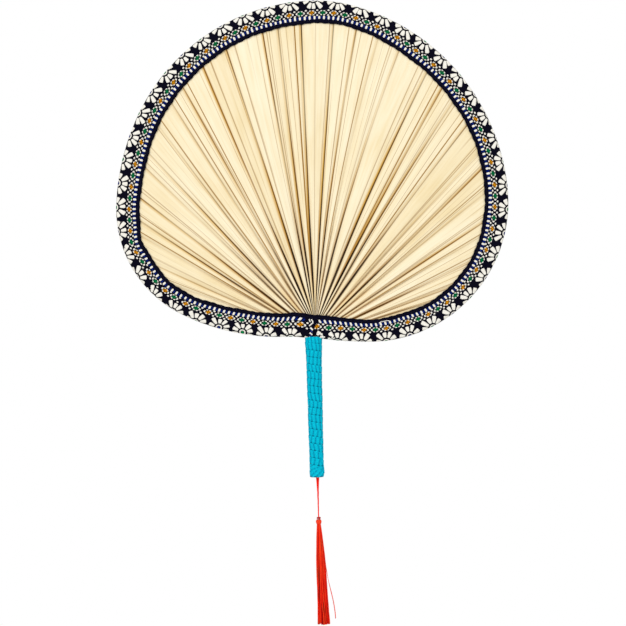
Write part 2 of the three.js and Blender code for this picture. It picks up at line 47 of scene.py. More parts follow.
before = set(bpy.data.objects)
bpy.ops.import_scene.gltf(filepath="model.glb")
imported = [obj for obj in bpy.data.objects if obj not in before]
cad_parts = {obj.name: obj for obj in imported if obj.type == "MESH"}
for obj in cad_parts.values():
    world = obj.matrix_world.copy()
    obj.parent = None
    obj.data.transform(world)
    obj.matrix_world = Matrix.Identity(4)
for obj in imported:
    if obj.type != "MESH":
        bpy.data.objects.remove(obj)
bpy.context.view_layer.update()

# Lengths are in millimetres up to the moment that a mesh is made
MM = 0.001

# Rim outline: arcs walked from the top down each side, as radii over the blade's and turns in degrees
BLADE_RADIUS = 179.3
RIGHT_ARCS = ((0.68, 15.4), (1.083, 70.5), (0.7155, 96.5), (2.29, 5))
LEFT_ARCS = ((1.021, 63), (1.1835, 23.5), (0.602, 66.1), (1.135, 31.2))
NECK_Z = 65.2
RIM_STEP = 2.4

# Ribbon folded over the rim
RIBBON_THICKNESS = 0.55
NOSE_RADIUS = 3.0
# Where the cloth comes down from the canes to the leaf, measured in from the rim
FLANK = (8.3, 14.3)
HEM_HEIGHT = 1.05
# The lap at the neck: half length, lift, where it rises before the rim's end, and how its end is cut
LAP_HALF_LENGTH = 8.7
LAP_LIFT = 1.0
LAP_RISE = (20.0, 9.0)
LAP_END = 3.0
LAP_CUT = 3.3
# Half length and half width of the opening that the stalk passes through
STALK_OPENING = (7.8, 5.0)
LAP_EASE = 27.0
# How much wider the ribbon is pulled where it passes over the stalk
NECK_PULL = 0.1
NECK_RUN = 1.5 * LAP_HALF_LENGTH
# Room between the stalk and the ribbon's outside
STALK_ROOM = 1.0
# Cloth divided across: from the middle line to here finely, and from the flank on to the hem
FOLD_HALF = 6.2
FOLD_ROWS = 17
FLANK_START = 7
FLANK_ROWS = 16
# Width of the wavering hem, and from where and over what run the lapped end is cut slantwise
HEM_WIDTH = 5
CUT_START = 12
CUT_RUN = 14
# Puckers towards the hem: height, waves as amount, length and start, and where they rise and fall
PUCKER_HEIGHT = 0.45
PUCKER_WAVES = ((0.3, 1.9, 0), (0.2, 3.1, 1))
PUCKER_RISE = (11, 20)
PUCKER_FALL = (20, 24)

# Where the ribbon is sewn further in or out: middle, half length and amount of each stretch
RIBBON_DRIFT = (
    (17, 12, 0.6),
    (48, 22, -1.0),
    (88, 12, 0.8),
    (132, 22, -0.4),
    (181, 16, -0.3),
    (236, 22, 0.8),
    (322, 40, -1.0),
    (428, 20, 0.5),
    (500, 34, -1.2),
    (570, 24, 0.3),
    (680, 50, 0.5),
    (790, 36, 1.0),
    (866, 13, -2.6),
    (922, 30, -1.9),
    (958, 12, -1.0),
    (1010, 22, 0.7),
    (1062, 12, 1.3),
)
RIBBON_BASE_DRIFT = 0.5
# Where the curve at the lower left gathers the cloth at the fold: middle, half length, amount, width
RIBBON_GATHER = (997, 24, 2.3, 12.0)

# Leaf
LEAF_THICKNESS = 0.45
LEAF_INSET = 1.3
PLEATS = 39
PLEAT_ANGLES = (-9.0, 186.0)
HUB = (0.0, 76.8)
HUB_HALF_WIDTH = 9.2
HUB_HALF_HEIGHT = 5.5
HUB_PLEAT_DEPTH = 4.0
RIM_PLEAT_DEPTH = 0.5
RIBBON_GRIP = 22.4
# The pleats' inner ends: lowest height, place sideways, rise in the middle, and reach upwards and sideways
LEAF_ROOT_Z = 66.0
LEAF_ROOT_X = 1.8
LEAF_ROOT_RISE = 13.0
LEAF_ROOT_REACH = (2.0, 8.0)
# Bow of the leaf's lines: the share of a line where it bends, and what the lines right of the middle add
BOW_PLACE = 0.45
SIDE_BOW = 3.5
SIDE_BOW_PLACE = (70, 16)
# How far a line waves from side to side
LEAF_WAVE = 0.3
# Rows of points from the root to the rim, close together at both ends
ROOT_ROWS = (0, 0.012, 0.028)
LEAF_ROWS = (0.045, 0.93, 46)
RIM_ROWS = (0.95, 0.975, 1.0)
# How fast the pleats may deepen away from the ribbon, and how far apart a steep flank's sides may lie
DEEPENING = 0.6
STEEPEST = 3
# The painted shadow in the folds fades over this run from the root, and is less in pleats this many degrees
# off upright
ROOT_SHADOW_RUN = (45, 150)
SIDEWAYS = (30, 75)
SIDEWAYS_SHADOW = 0.35
LEAF_SEED = 41
# A narrower pleat counts as this wide, so that the lines along its folds narrow with it
NARROW_PLEAT = 3.6
# The first pleat left of the middle; the pleats' narrow sides face outwards on either side of it
MIDDLE_PLEAT = 19
# Pleats that were tucked when the leaf was pressed: their edge, ridge and how dark their folds are, as
# painted shadow in the folds
TUCKS = {
    15: {"start": 64.4, "strength": 1.0, "deep": 0.8},
    18: {"start": 80.2, "strength": 0.8, "deep": 0.3},
    19: {"start": 84.7, "ridge": 0.56, "strength": 1.0, "deep": 1.0, "ridge_strength": 0.3},
    20: {"start": 90.8, "ridge": 0.3, "strength": 1.0, "deep": 1.0, "ridge_strength": 1.6},
    21: {"start": 95.2, "strength": 0.9, "deep": 0.6},
    22: {"start": 98.2, "strength": 0.8, "deep": 0.5},
}

# Leaf's markings, by the distance from the root in millimetres or in pleats across
LEAF_FINENESS = 9.0
LEAF_FIBRE_STRETCH = 0.02
# A blotch's fineness as a share of a streak's
BLOTCH_SHARE = 0.12
VEINS_PER_PLEAT = 3.3
VEIN_WANDER = 1.6
VEIN_SLOWNESS = 0.003
VEIN_START = (30, 90)
# The golden band of painted shade beside each fold: its reach from the fold grows over this run
BAND_RUN = (10, 110)
BAND_REACH = (1.25, 3.0)

# Stalk under the tape
GRIP_TOP = 63.0
GRIP_END = -63.0
STALK_TOP_HALF = 5.6
STALK_END_HALF = 4.7
STALK_FLARE = 0.7
FLARE_START = 37.0
STALK_DEPTH_SHARE = 0.82
HUB_TIP_HALF_DEPTH = 1.2
HUB_TIP_Z = 82.0

# Cord and tassel
CORD_X = 0.6
CORD_TOP = GRIP_END
CORD_PLIES = 3
CORD_TWIST = 22.0
PLY_SIDES = 8
# Radii of the plies and how far they lie from the cord's middle, from the top down
PLY_RADII = (0.5, 0.36)
PLY_OFFSETS = (0.55, 0.2)
SPLAY_RADII = (0.5, 0.3)
SPLAY_OFFSETS = (1.05, 0.3)
SPLAY_END = -79.0
KNOT_TOP = -99.7
CORD_IN_KNOT = 0.4
KNOT_Z = -100.72
KNOT_RADIUS = 1.15
KNOT_SWAY = 0.42
KNOT_THREAD = 0.52
# Thread wound over the head: its ends lie over and under the head's middle
HEAD_Z = -104.0
HEAD_RADIUS = 2.45
HEAD_FLATNESS = 0.82
HEAD_TURNS = 8.5
HEAD_ENDS = (1.95, -2.05)
HEAD_THREAD = 0.25
NECK_END = -106.5
TASSEL_END = -198.4
# The skirt: how far it leans to the right, and its radii by the share of its length down from the head
SKIRT_LEAN = 2.5
SKIRT_RADII = ((0, 1.6), (0.15, 2.85), (0.35, 3.85), (0.5, 4.1), (0.66, 4.2), (0.83, 4.75), (1, 5.3))
# Locks that the threads are drawn into, and how far sideways and outwards
LOCKS = 5
LOCK_PULL = 0.16
LOCK_PUSH = 0.1
THREAD_SWING = 0.35
TASSEL_SEED = 19
THREAD_RADII = (0.17, 0.2)
THREADS_IN_HEAD = 1.6
# Threads that stand off the skirt: their places round it, their reach, and how much shorter they are
STRAY_ANGLES = (-0.25, 0.1)
STRAY_REACH = 5.6
STRAY_SHORTER = 0.055
# The dark core, standing for the folded head and for the painted shadow inside the skirt: height from the
# head's middle and radius inside the head, then places down the skirt
CORE_HEAD = ((2.05, 0.5), (1.7, 1.1), (0.9, 1.65), (0.0, 1.75), (-1.2, 1.65), (-2.5, 1.5))
CORE_SKIRT = (0.15, 0.35, 0.5, 0.66, 0.8, 0.93)
CORE_SHARE = 0.55

# Camera: the point that it looks at, its distance, and how far the fan leans in the picture
PICTURE_CENTRE = (0.16, 87.9)
CAMERA_DISTANCE = 1600.0
CAMERA_LENS = 100
FAN_LEAN = 1.44

# Stage in metres: lamps as name, place, size and power, the point they face, the surround and the floor
LAMPS = (
    ("key_lamp", (-0.9, -1.5, 1.1), 1.1, 16),
    ("fill_lamp", (1.3, -1.4, 0.5), 1.4, 7),
    ("back_lamp", (0.3, 1.6, 1.0), 1.4, 9),
)
LAMPS_AIM = (0, 0, 0.1)
SURROUND_LIGHT = 0.62
FLOOR_Z = -0.305
FLOOR_RADIUS = 0.5


def srgb(red, green, blue):
    """A colour written from 0 to 255 as it looks on a screen, in the linear values that Blender keeps."""
    def linear(value):
        share = value / 255
        return share / 12.92 if share <= 0.04045 else ((share + 0.055) / 1.055) ** 2.4
    return (linear(red), linear(green), linear(blue))


def colour(name, text, red, green, blue):
    """A colour property that a user can change."""
    return FloatVectorProperty(
        name=name, description=text, subtype="COLOR", size=3, min=0, max=1, default=srgb(red, green, blue)
    )


def length(name, text, value):
    """A length property in metres, written in millimetres."""
    return FloatProperty(name=name, description=text, unit="LENGTH", min=0, default=value * MM)


class FanSizes(bpy.types.PropertyGroup):
    """Sizes and counts of the fan's trim."""
    ribbon_half: length("Half ribbon", "From the ribbon's middle line to its hem, laid flat", 23.0)
    flowers: IntProperty(name="Flowers", description="Flowers round the rim", min=8, default=48)
    petal_reach: length("Petal reach", "From a flower's middle to its petals' ends", 9.3)
    tape_pitch: length("Tape pitch", "From one turn of the tape to the next", 6.6)
    rib_pitch: length("Rib pitch", "From one rib of the tape to the next", 2.7)
    strands: IntProperty(name="Threads", description="Threads in the tassel", min=50, default=430)


class FanColours(bpy.types.PropertyGroup):
    """Colours of the fan's pieces."""
    leaf: colour("Leaf", "Dry palm leaf", 254, 242, 210)
    leaf_shade: colour("Leaf shade", "Darker stretches of the leaf", 238, 215, 163)
    # Painted shade: the fold band and the band at the hub stand partly for the shade on the face that slopes
    # into each fold's valley, partly for the leaf's golden colour along its folds; the fold band's colour
    # also marks the creases
    fold: colour("Fold band", "Golden band beside a fold", 212, 164, 66)
    root_band: colour("Band at the hub", "Brown band beside a fold near the hub", 176, 116, 24)
    ridge: colour("Ridges", "Thin lines along the ridges", 160, 114, 40)
    # Painted shadow: the lines along the folds' valleys, from their colour towards the rim to near-black in
    # the deep folds
    fold_line_shade: colour("Fold line shade", "Folds towards the rim", 140, 92, 18)
    deep_fold: colour("Deep folds", "Folds near the hub and in tucks", 26, 8, 0)
    stalk: colour("Stalk", "Scraped stalk", 199, 168, 115)
    cane: colour("Cane", "Split bamboo", 184, 149, 92)
    ground: colour("Ribbon ground", "Navy-black ground of the ribbon", 8, 7, 20)
    petals: colour("Petals", "Off-white thread", 255, 252, 242)
    gold: colour("Gold", "Gold thread", 248, 166, 0)
    green: colour("Green", "Green thread", 0, 140, 76)
    blue: colour("Blue", "Blue thread", 0, 32, 120)
    tape: colour("Tape", "Cyan tape on the handle", 0, 186, 214)
    # Painted shade in the grooves between the ribs
    tape_groove_shade: colour("Tape groove", "Between the ribs of the tape", 0, 112, 152)
    red: colour("Red", "Tassel and cord", 255, 28, 12)
    dark_red: colour("Dark red", "Shaded threads of the cord", 150, 4, 8)


# Meshes

def ease(value, low, high):
    """0 below low, 1 above high and a smooth step between."""
    share = np.clip((np.asarray(value, float) - low) / (high - low), 0, 1)
    return share * share * (3 - 2 * share)


def mix(low, high, share):
    """From low to high by a share."""
    return low + (high - low) * share


def bell(value, middle, half):
    """1 at the middle, and fading out on both sides over the half width."""
    return np.exp(-(((np.asarray(value, float) - middle) / half) ** 2))


def grid_faces(rows, columns, start=0):
    """Quads of a grid whose points run along each row in turn."""
    at = start + np.arange(rows * columns).reshape(rows, columns)
    quads = np.stack([at[:-1, :-1], at[:-1, 1:], at[1:, 1:], at[1:, :-1]], -1)
    return quads.reshape(-1, 4)


def slab(outer, inner, kept=None):
    """Points and faces of a closed sheet between two grids of points; kept marks the grid's cells."""
    rows, columns = outer.shape[:2]
    count = rows * columns
    cells = grid_faces(rows, columns)
    if kept is not None:
        cells = cells[kept.ravel()]
    edges = np.concatenate([cells[:, [k, (k + 1) % 4]] for k in range(4)])
    forward = edges[:, 0] * count + edges[:, 1]
    back = edges[:, 1] * count + edges[:, 0]
    start, end = edges[~np.isin(forward, back)].T
    sides = np.stack([start, start + count, end + count, end], 1)
    faces = np.concatenate([cells, cells[:, ::-1] + count, sides])
    return np.concatenate([outer.reshape(-1, 3), inner.reshape(-1, 3)]), faces


def tubes(paths, radii, sides, reference):
    """Closed tubes along paths of equally many points; reference is never parallel to a path."""
    count, steps = paths.shape[:2]
    along = np.gradient(paths, axis=1)
    along /= np.linalg.norm(along, axis=2, keepdims=True)
    first = np.cross(along, np.asarray(reference, float))
    first /= np.linalg.norm(first, axis=2, keepdims=True)
    second = np.cross(along, first)
    turn = 2 * math.pi * np.arange(sides) / sides
    ring = first[:, :, None] * np.cos(turn)[:, None] + second[:, :, None] * np.sin(turn)[:, None]
    points = paths[:, :, None] + ring * np.asarray(radii)[..., None, None]
    at = np.arange(count * steps * sides).reshape(count, steps, sides)
    ahead = np.roll(at, -1, axis=2)
    quads = np.stack([at[:, :-1], ahead[:, :-1], ahead[:, 1:], at[:, 1:]], -1).reshape(-1, 4)
    caps = np.concatenate([at[:, 0, ::-1], at[:, -1]])
    return points.reshape(-1, 3), quads.tolist() + caps.tolist()


def piece(name, points, faces, material, body, replaces=(), values=None):
    """A mesh that rides on a body, with its faces turned out and any values kept on its points."""
    mesh = bpy.data.meshes.new(name)
    mesh.from_pydata((np.asarray(points) * MM).tolist(), [], [list(face) for face in faces])
    shape = bmesh.new()
    shape.from_mesh(mesh)
    bmesh.ops.recalc_face_normals(shape, faces=shape.faces)
    shape.to_mesh(mesh)
    shape.free()
    for key, numbers in (values or {}).items():
        numbers = np.asarray(numbers, np.float32)
        kind, field = ("FLOAT", "value") if numbers.ndim == 1 else ("FLOAT_VECTOR", "vector")
        mesh.attributes.new(key, kind, "POINT").data.foreach_set(field, numbers.ravel())
    mesh.polygons.foreach_set("use_smooth", [True] * len(mesh.polygons))
    mesh.materials.append(material)
    made = bpy.data.objects.new(name, mesh)
    bpy.context.collection.objects.link(made)
    if body:
        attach(made, body)
    if replaces:
        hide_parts(*replaces)
    return made


# Rim

def walk_side(arcs, hand):
    """Points of one side of the rim from the top down to the neck, the top at zero."""
    points = [np.zeros(2)]
    heading = 0.0
    for share, turn in arcs:
        radius = BLADE_RADIUS * share
        angles = heading + math.radians(turn) * np.arange(1, math.ceil(turn) + 1) / math.ceil(turn)
        across = hand * radius * (np.sin(angles) - math.sin(heading))
        down = radius * (np.cos(angles) - math.cos(heading))
        points.extend(points[-1] + np.stack([across, down], 1))
        heading += math.radians(turn)
    return np.array(points)


class Rim:
    """The rim's outline as a closed path from the middle of the neck up the right side."""

    def __init__(self):
        right, left = walk_side(RIGHT_ARCS, 1), walk_side(LEFT_ARCS, -1)
        shift = np.array([0, NECK_Z]) - (right[-1] + left[-1]) / 2
        corners = np.concatenate([[[0, NECK_Z]], right[::-1] + shift, left[1:] + shift, [[0, NECK_Z]]])
        run = np.concatenate([[0], np.cumsum(np.linalg.norm(np.diff(corners, axis=0), axis=1))])
        self.length = run[-1]
        self.run = np.linspace(0, self.length, round(self.length / RIM_STEP), endpoint=False)
        self.places = np.stack([np.interp(self.run, run, corners[:, k]) for k in (0, 1)], 1)
        along = np.roll(self.places, -2, axis=0) - np.roll(self.places, 2, axis=0)
        along /= np.linalg.norm(along, axis=1, keepdims=True)
        self.inward = np.stack([-along[:, 1], along[:, 0]], 1)

    def sample(self, run, values):
        """Values kept at the rim's places, read between them."""
        return np.stack([np.interp(run, self.run, values[:, k], period=self.length) for k in (0, 1)], -1)

    def at(self, run):
        """Place and inward direction at a distance along the rim."""
        inward = self.sample(run, self.inward)
        return self.sample(run, self.places), inward / np.linalg.norm(inward, axis=-1, keepdims=True)

    def distance(self, points):
        """From each point to the nearest of the rim's places."""
        gaps = np.linalg.norm(points[:, None] - self.places[None], axis=2)
        return gaps.min(axis=1)


RIM = Rim()


def stalk_half_width(z):
    """Half the stalk's width, which widens evenly up the grip and flares below the blade."""
    share = (np.minimum(z, NECK_Z) - GRIP_END) / (GRIP_TOP - GRIP_END)
    flare = np.clip((np.asarray(z, float) - FLARE_START) / (GRIP_TOP - FLARE_START), 0, 1)
    return mix(STALK_END_HALF, STALK_TOP_HALF, share) + STALK_FLARE * flare**2


def stalk_half_depth(z):
    """Half the stalk's depth, which runs out to a thin tip inside the hub."""
    share = np.clip((np.asarray(z, float) - GRIP_TOP) / (HUB_TIP_Z - GRIP_TOP), 0, 1)
    return mix(stalk_half_width(z) * STALK_DEPTH_SHARE, HUB_TIP_HALF_DEPTH, share)


# Ribbon's cloth laid over the rim

class Ribbon:
    """Carries a point of the flat ribbon onto the rim: run along it, width from its middle line, height."""

    step = 0.25
    reach = 27.0

    def __init__(self):
        self.runs = np.arange(-LAP_HALF_LENGTH, RIM.length + LAP_HALF_LENGTH + RIM_STEP, RIM_STEP)
        self.cloth = np.arange(0, self.reach, self.step)
        rows = [self.section(run) for run in self.runs]
        self.inset = np.array([row[0] for row in rows])
        self.height = np.array([row[1] for row in rows])

    def section(self, run):
        """Inset from the rim and height over the middle plane, at even steps of cloth from the fold."""
        from_neck = min(run, RIM.length - run)
        neck = 1 - float(ease(from_neck, NECK_RUN, NECK_RUN + LAP_EASE))
        start, end = LAP_RISE
        lift = LAP_LIFT * float(ease(run, RIM.length - start, RIM.length - end))
        over_stalk = stalk_half_depth(NECK_Z) + STALK_ROOM
        nose_height = mix(NOSE_RADIUS, over_stalk, neck) + lift
        turn = np.linspace(0, math.pi / 2, 25)
        leg = np.linspace(NOSE_RADIUS, self.reach, 80)[1:]
        on_rim = mix(NOSE_RADIUS, HEM_HEIGHT, ease(leg, *FLANK))
        on_neck = stalk_half_depth(NECK_Z + leg) + STALK_ROOM
        flat = mix(on_rim, np.maximum(on_rim, on_neck), neck) + lift
        inset = np.concatenate([(NOSE_RADIUS + lift) * (1 - np.cos(turn)) - lift, leg])
        height = np.concatenate([nose_height * np.sin(turn), flat])
        run_out = np.concatenate([[0], np.cumsum(np.hypot(np.diff(inset), np.diff(height)))])
        pulled = self.cloth * (1 + NECK_PULL * neck)
        inset = np.interp(pulled, run_out, inset)
        height = np.interp(pulled, run_out, height)
        pucker = 0.5 + sum(amount * math.sin(run / wave + start) for amount, wave, start in PUCKER_WAVES)
        gathered = PUCKER_HEIGHT * pucker * ease(inset, *PUCKER_RISE) * (1 - ease(inset, *PUCKER_FALL) / 2)
        return inset, height + gathered

    def shift(self, run):
        """How far the ribbon's middle line lies inside the fold on the front."""
        moved = sum(amount * bell(run, middle, half) for middle, half, amount in RIBBON_DRIFT)
        return RIBBON_BASE_DRIFT + moved

    def laid(self, run, width):
        """Where a place on the flat ribbon comes to lie, measured over the cloth from the fold."""
        middle, half, amount, reach = RIBBON_GATHER
        gathered = amount * bell(run, middle, half) * (1 - ease(np.abs(width), 0, reach))
        return width + self.shift(run) + gathered

    def place(self, run, width, height):
        """Points in the fan's own space, the front to -Y."""
        given = (np.asarray(each, float) for each in (run, width, height))
        run, width, height = np.broadcast_arrays(*given)
        cloth = self.laid(run, width)
        face = np.where(cloth < 0, -1.0, 1.0)
        # The last row and column have none after them to look up
        row = np.clip((run - self.runs[0]) / RIM_STEP, 0, len(self.runs) - 1.001)
        column = np.clip(np.abs(cloth) / self.step, 0, len(self.cloth) - 2.001)
        inset, slope_in = self.look_up(self.inset, row, column)
        rise, slope_out = self.look_up(self.height, row, column)
        size = np.hypot(slope_in, slope_out)
        inset = inset - height * slope_out / size
        rise = rise + height * slope_in / size
        place, inward = RIM.at(run)
        place = place + inward * inset[..., None]
        return np.stack([place[..., 0], -face * rise, place[..., 1]], -1)

    @staticmethod
    def look_up(table, row, column):
        """Value and slope along the cloth, between the table's rows and columns."""
        r, c = row.astype(int), column.astype(int)
        down, over = row - r, column - c
        left = mix(table[r, c], table[r + 1, c], down)
        right = mix(table[r, c + 1], table[r + 1, c + 1], down)
        return mix(left, right, over), right - left


RIBBON = Ribbon()


# Materials

class Tree:
    """Adds nodes to a node tree and links them as they are made."""

    def __init__(self, tree):
        self.tree = tree

    def feed(self, socket, value):
        """Link a socket to another, or set its value."""
        if isinstance(value, bpy.types.NodeSocket):
            self.tree.links.new(value, socket)
        elif hasattr(value, "__len__") and len(value) == 3 and socket.type == "RGBA":
            socket.default_value = (*value, 1)
        else:
            socket.default_value = value

    def add(self, kind, inputs=(), **settings):
        """A node with its settings made and its inputs fed."""
        node = self.tree.nodes.new(kind)
        for key, value in settings.items():
            setattr(node, key, value)
        for key, value in dict(inputs).items():
            self.feed(node.inputs[key], value)
        return node

    def math(self, operation, first, second=0.0):
        return self.add("ShaderNodeMath", {0: first, 1: second}, operation=operation).outputs[0]

    def times(self, first, second):
        return self.math("MULTIPLY", first, second)

    def plus(self, first, second):
        return self.math("ADD", first, second)

    def mix(self, share, low, high):
        """A colour between two others."""
        node = self.add("ShaderNodeMix", {0: share, 6: low, 7: high}, data_type="RGBA")
        return node.outputs[2]

    def ramp(self, value, start, end, low=0.0, high=1.0):
        """Low up to the start, high from the end on, and a smooth step between."""
        inputs = {"Value": value, "From Min": start, "From Max": end, "To Min": low, "To Max": high}
        return self.add("ShaderNodeMapRange", inputs, interpolation_type="SMOOTHSTEP").outputs[0]

    def parts(self, name):
        """The three numbers of a value that the mesh keeps on its points."""
        vector = self.add("ShaderNodeAttribute", attribute_name=name).outputs["Vector"]
        return self.add("ShaderNodeSeparateXYZ", {0: vector}).outputs

    def number(self, name):
        """The one number of a value that the mesh keeps on its points."""
        return self.add("ShaderNodeAttribute", attribute_name=name).outputs["Fac"]

    def vector(self, x, y, z=0.0):
        return self.add("ShaderNodeCombineXYZ", {0: x, 1: y, 2: z}).outputs[0]

    def noise(self, vector, scale, detail=3.0):
        inputs = {"Vector": vector, "Scale": scale, "Detail": detail}
        return self.add("ShaderNodeTexNoise", inputs).outputs[0]

    def group(self, group, **inputs):
        """A shared group placed in this tree; its inputs are given in small letters."""
        node = self.add("ShaderNodeGroup", node_tree=group)
        for key, value in inputs.items():
            self.feed(node.inputs[key.capitalize()], value)
        return node.outputs

    def bump(self, height, strength, distance=0.0002):
        inputs = {"Height": height, "Strength": strength, "Distance": distance}
        return self.add("ShaderNodeBump", inputs).outputs[0]

    def surface(self, **inputs):
        """The material's shader and output; its inputs are given in small letters."""
        shader = self.add("ShaderNodeBsdfPrincipled")
        for key, value in inputs.items():
            self.feed(shader.inputs[key.replace("_", " ").title().replace("Ior", "IOR")], value)
        out = self.add("ShaderNodeOutputMaterial")
        self.tree.links.new(shader.outputs[0], out.inputs["Surface"])


def new_material(name):
    """An empty material and its tree."""
    material = bpy.data.materials.new(name)
    material.use_nodes = True
    material.node_tree.nodes.clear()
    return material, Tree(material.node_tree)


def new_group(name, inputs, outputs):
    """A shader node group: the group, its tree, what its inputs give, and a way to set its outputs."""
    group = bpy.data.node_groups.new(name, "ShaderNodeTree")
    for key in inputs:
        group.interface.new_socket(key, in_out="INPUT", socket_type="NodeSocketFloat")
    for key in outputs:
        group.interface.new_socket(key, in_out="OUTPUT", socket_type="NodeSocketFloat")
    tree = Tree(group)
    given = tree.add("NodeGroupInput").outputs
    result = tree.add("NodeGroupOutput")
    return group, tree, given, lambda key, value: tree.feed(result.inputs[key], value)


def weave_group():
    """Crossing threads: along and across are places on the cloth in millimetres."""
    found = bpy.data.node_groups.get("Thread weave")
    if found:
        return found
    sockets = ("Along", "Across", "Pitch")
    group, tree, given, put = new_group("Thread weave", sockets, ("Height", "Fleck"))
    waves = []
    for key in ("Along", "Across"):
        turns = tree.math("DIVIDE", given[key], given["Pitch"])
        waves.append(tree.math("SINE", tree.times(turns, 2 * math.pi)))
    put("Height", tree.ramp(tree.times(*waves), -1, 1))
    place = tree.vector(given["Along"], given["Across"])
    put("Fleck", tree.noise(place, 1.4, 4.0))
    return group


def fibre_group():
    """Long fibres: across and along are stretched into streaks."""
    found = bpy.data.node_groups.get("Plant fibre")
    if found:
        return found
    sockets = ("Across", "Along", "Fineness")
    group, tree, given, put = new_group("Plant fibre", sockets, ("Streak", "Blotch"))
    fine = tree.times(given["Across"], given["Fineness"])
    put("Streak", tree.noise(tree.vector(fine, given["Along"]), 1.0, 3.0))
    wide = tree.times(given["Across"], tree.times(given["Fineness"], BLOTCH_SHARE))
    put("Blotch", tree.noise(tree.vector(wide, given["Along"], 5.0), 0.8, 2.0))
    return group


def leaf_veins(tree, across, along):
    """Thin veins that wander along the leaf, come and go, and fade out towards the hub."""
    slow = tree.times(along, VEIN_SLOWNESS)
    wander = tree.noise(tree.vector(tree.times(across, 1.1), slow), 1.0, 0.0)
    phase = tree.plus(tree.times(across, VEINS_PER_PLEAT), tree.times(wander, VEIN_WANDER))
    off_line = tree.math("ABSOLUTE", tree.math("SINE", tree.times(phase, math.pi)))
    patches = tree.noise(tree.vector(tree.times(across, 2.9), slow, 4.0), 1.0, 1.0)
    vein = tree.times(tree.ramp(off_line, 0.04, 0.3, 0.6, 0.0), tree.ramp(along, *VEIN_START))
    return tree.times(vein, tree.ramp(patches, 0.42, 0.62))


def leaf_fold_shade(tree, across, along, strength, to_fold):
    """Where the golden band of painted shade shows: left of a fold, and near the hub narrower and on both
    sides.
    """
    left_side = tree.ramp(tree.math("FRACT", across), 0.4, 0.6, 1.0, 0.2)
    both_sides = tree.ramp(along, *BAND_RUN, 0.7, 0.0)
    shown = tree.math("MAXIMUM", tree.times(strength, left_side), both_sides)
    reach = tree.ramp(along, *BAND_RUN, *BAND_REACH)
    return tree.times(tree.ramp(to_fold, 0.35, reach, 1.0, 0.0), shown)


def leaf_material(colours):
    """Cream leaf with fibres, a golden band of painted shade beside each fold, and a line of painted shadow
    along each fold that darkens towards the hub.
    """
    material, tree = new_material("palm_leaf")
    place, folds, tone = (tree.parts(name) for name in ("leaf_place", "leaf_folds", "leaf_tone"))
    across, along, strength = place
    to_fold, to_ridge, fold_shadow_share = folds
    pleat_tone, ridge_strength, to_crease = tone
    fibre = tree.group(
        fibre_group(), across=across, along=tree.times(along, LEAF_FIBRE_STRETCH), fineness=LEAF_FINENESS
    )
    streak = tree.ramp(fibre["Streak"], 0.35, 0.75)
    blotch = tree.ramp(fibre["Blotch"], 0.4, 0.75)
    shade = tree.plus(tree.times(streak, 0.35), tree.times(pleat_tone, 0.35))
    shade = tree.plus(shade, tree.times(blotch, 0.3))
    base = tree.mix(shade, colours.leaf, colours.leaf_shade)
    near_hub = tree.times(tree.ramp(along, 4, 90, 0.45, 0.0), tree.ramp(blotch, 0, 1))
    base = tree.mix(near_hub, base, srgb(236, 190, 96))
    crease = tree.times(tree.ramp(to_crease, 0.15, 0.6, 0.5, 0.0), streak)
    base = tree.mix(crease, base, colours.fold)
    base = tree.mix(leaf_veins(tree, across, along), base, colours.ridge)
    ridge = tree.times(tree.ramp(to_ridge, 0.22, 0.72, 1.0, 0.0), ridge_strength)
    base = tree.mix(ridge, base, colours.ridge)
    # The golden band beside each fold: painted shade on the face that slopes into the valley, partly the
    # leaf's own golden colour
    golden = tree.mix(tree.ramp(along, 20, 150), colours.root_band, colours.fold)
    base = tree.mix(leaf_fold_shade(tree, across, along, strength, to_fold), base, golden)
    # Fold line: a dark line painted along each fold's valley as its crease shadow, near-black near the root
    # and in tucks
    line = tree.mix(fold_shadow_share, colours.fold_line_shade, colours.deep_fold)
    off_fold = tree.math("SUBTRACT", to_fold, tree.ramp(along, 30, 120, 0.24, 0.0))
    fold_shadow_line = tree.times(tree.ramp(off_fold, 0.3, 0.8, 1.0, 0.0), tree.ramp(strength, 0.05, 0.85))
    base = tree.mix(fold_shadow_line, base, line)
    normal = tree.bump(fibre["Streak"], 0.4, 0.0001)
    rough = tree.ramp(fibre["Streak"], 0.2, 0.8, 0.5, 0.7)
    tree.surface(base_color=base, roughness=rough, normal=normal, specular_ior_level=0.1)
    return material


def wood_material(name, light, dark, fineness):
    """Scraped plant stem with long fibres, read from the place along Z and round it."""
    material, tree = new_material(name)
    place = tree.add("ShaderNodeTexCoord").outputs["Object"]
    x, y, z = tree.add("ShaderNodeSeparateXYZ", {0: place}).outputs
    across = tree.times(tree.plus(x, y), 1 / MM)
    fibre = tree.group(fibre_group(), across=across, along=tree.times(z, 40), fineness=fineness)
    base = tree.mix(tree.ramp(fibre["Streak"], 0.3, 0.75), light, dark)
    base = tree.mix(tree.ramp(fibre["Blotch"], 0.5, 0.8, 0.0, 0.5), base, dark)
    tree.surface(base_color=base, roughness=0.62, normal=tree.bump(fibre["Streak"], 0.5))
    return material


def cloth_material(name, main, fleck_colour, pitch, fleck_share, rough, shine):
    """Woven thread, its place on the cloth kept on the mesh's points."""
    material, tree = new_material(name)
    place = tree.parts("cloth_place")
    weave = tree.group(weave_group(), along=place[0], across=place[1], pitch=pitch)
    fleck = tree.ramp(weave["Fleck"], 0.45, 0.8, 0.0, fleck_share)
    base = tree.mix(fleck, main, fleck_colour)
    # The weave's low points take the fleck colour: painted shade between the threads where that colour is
    # darker, as on the figures
    base = tree.mix(tree.ramp(weave["Height"], 0.0, 0.6, 0.25, 0.0), base, fleck_colour)
    normal = tree.bump(weave["Height"], 0.5)
    tree.surface(base_color=base, roughness=rough, normal=normal, specular_ior_level=shine)
    return material


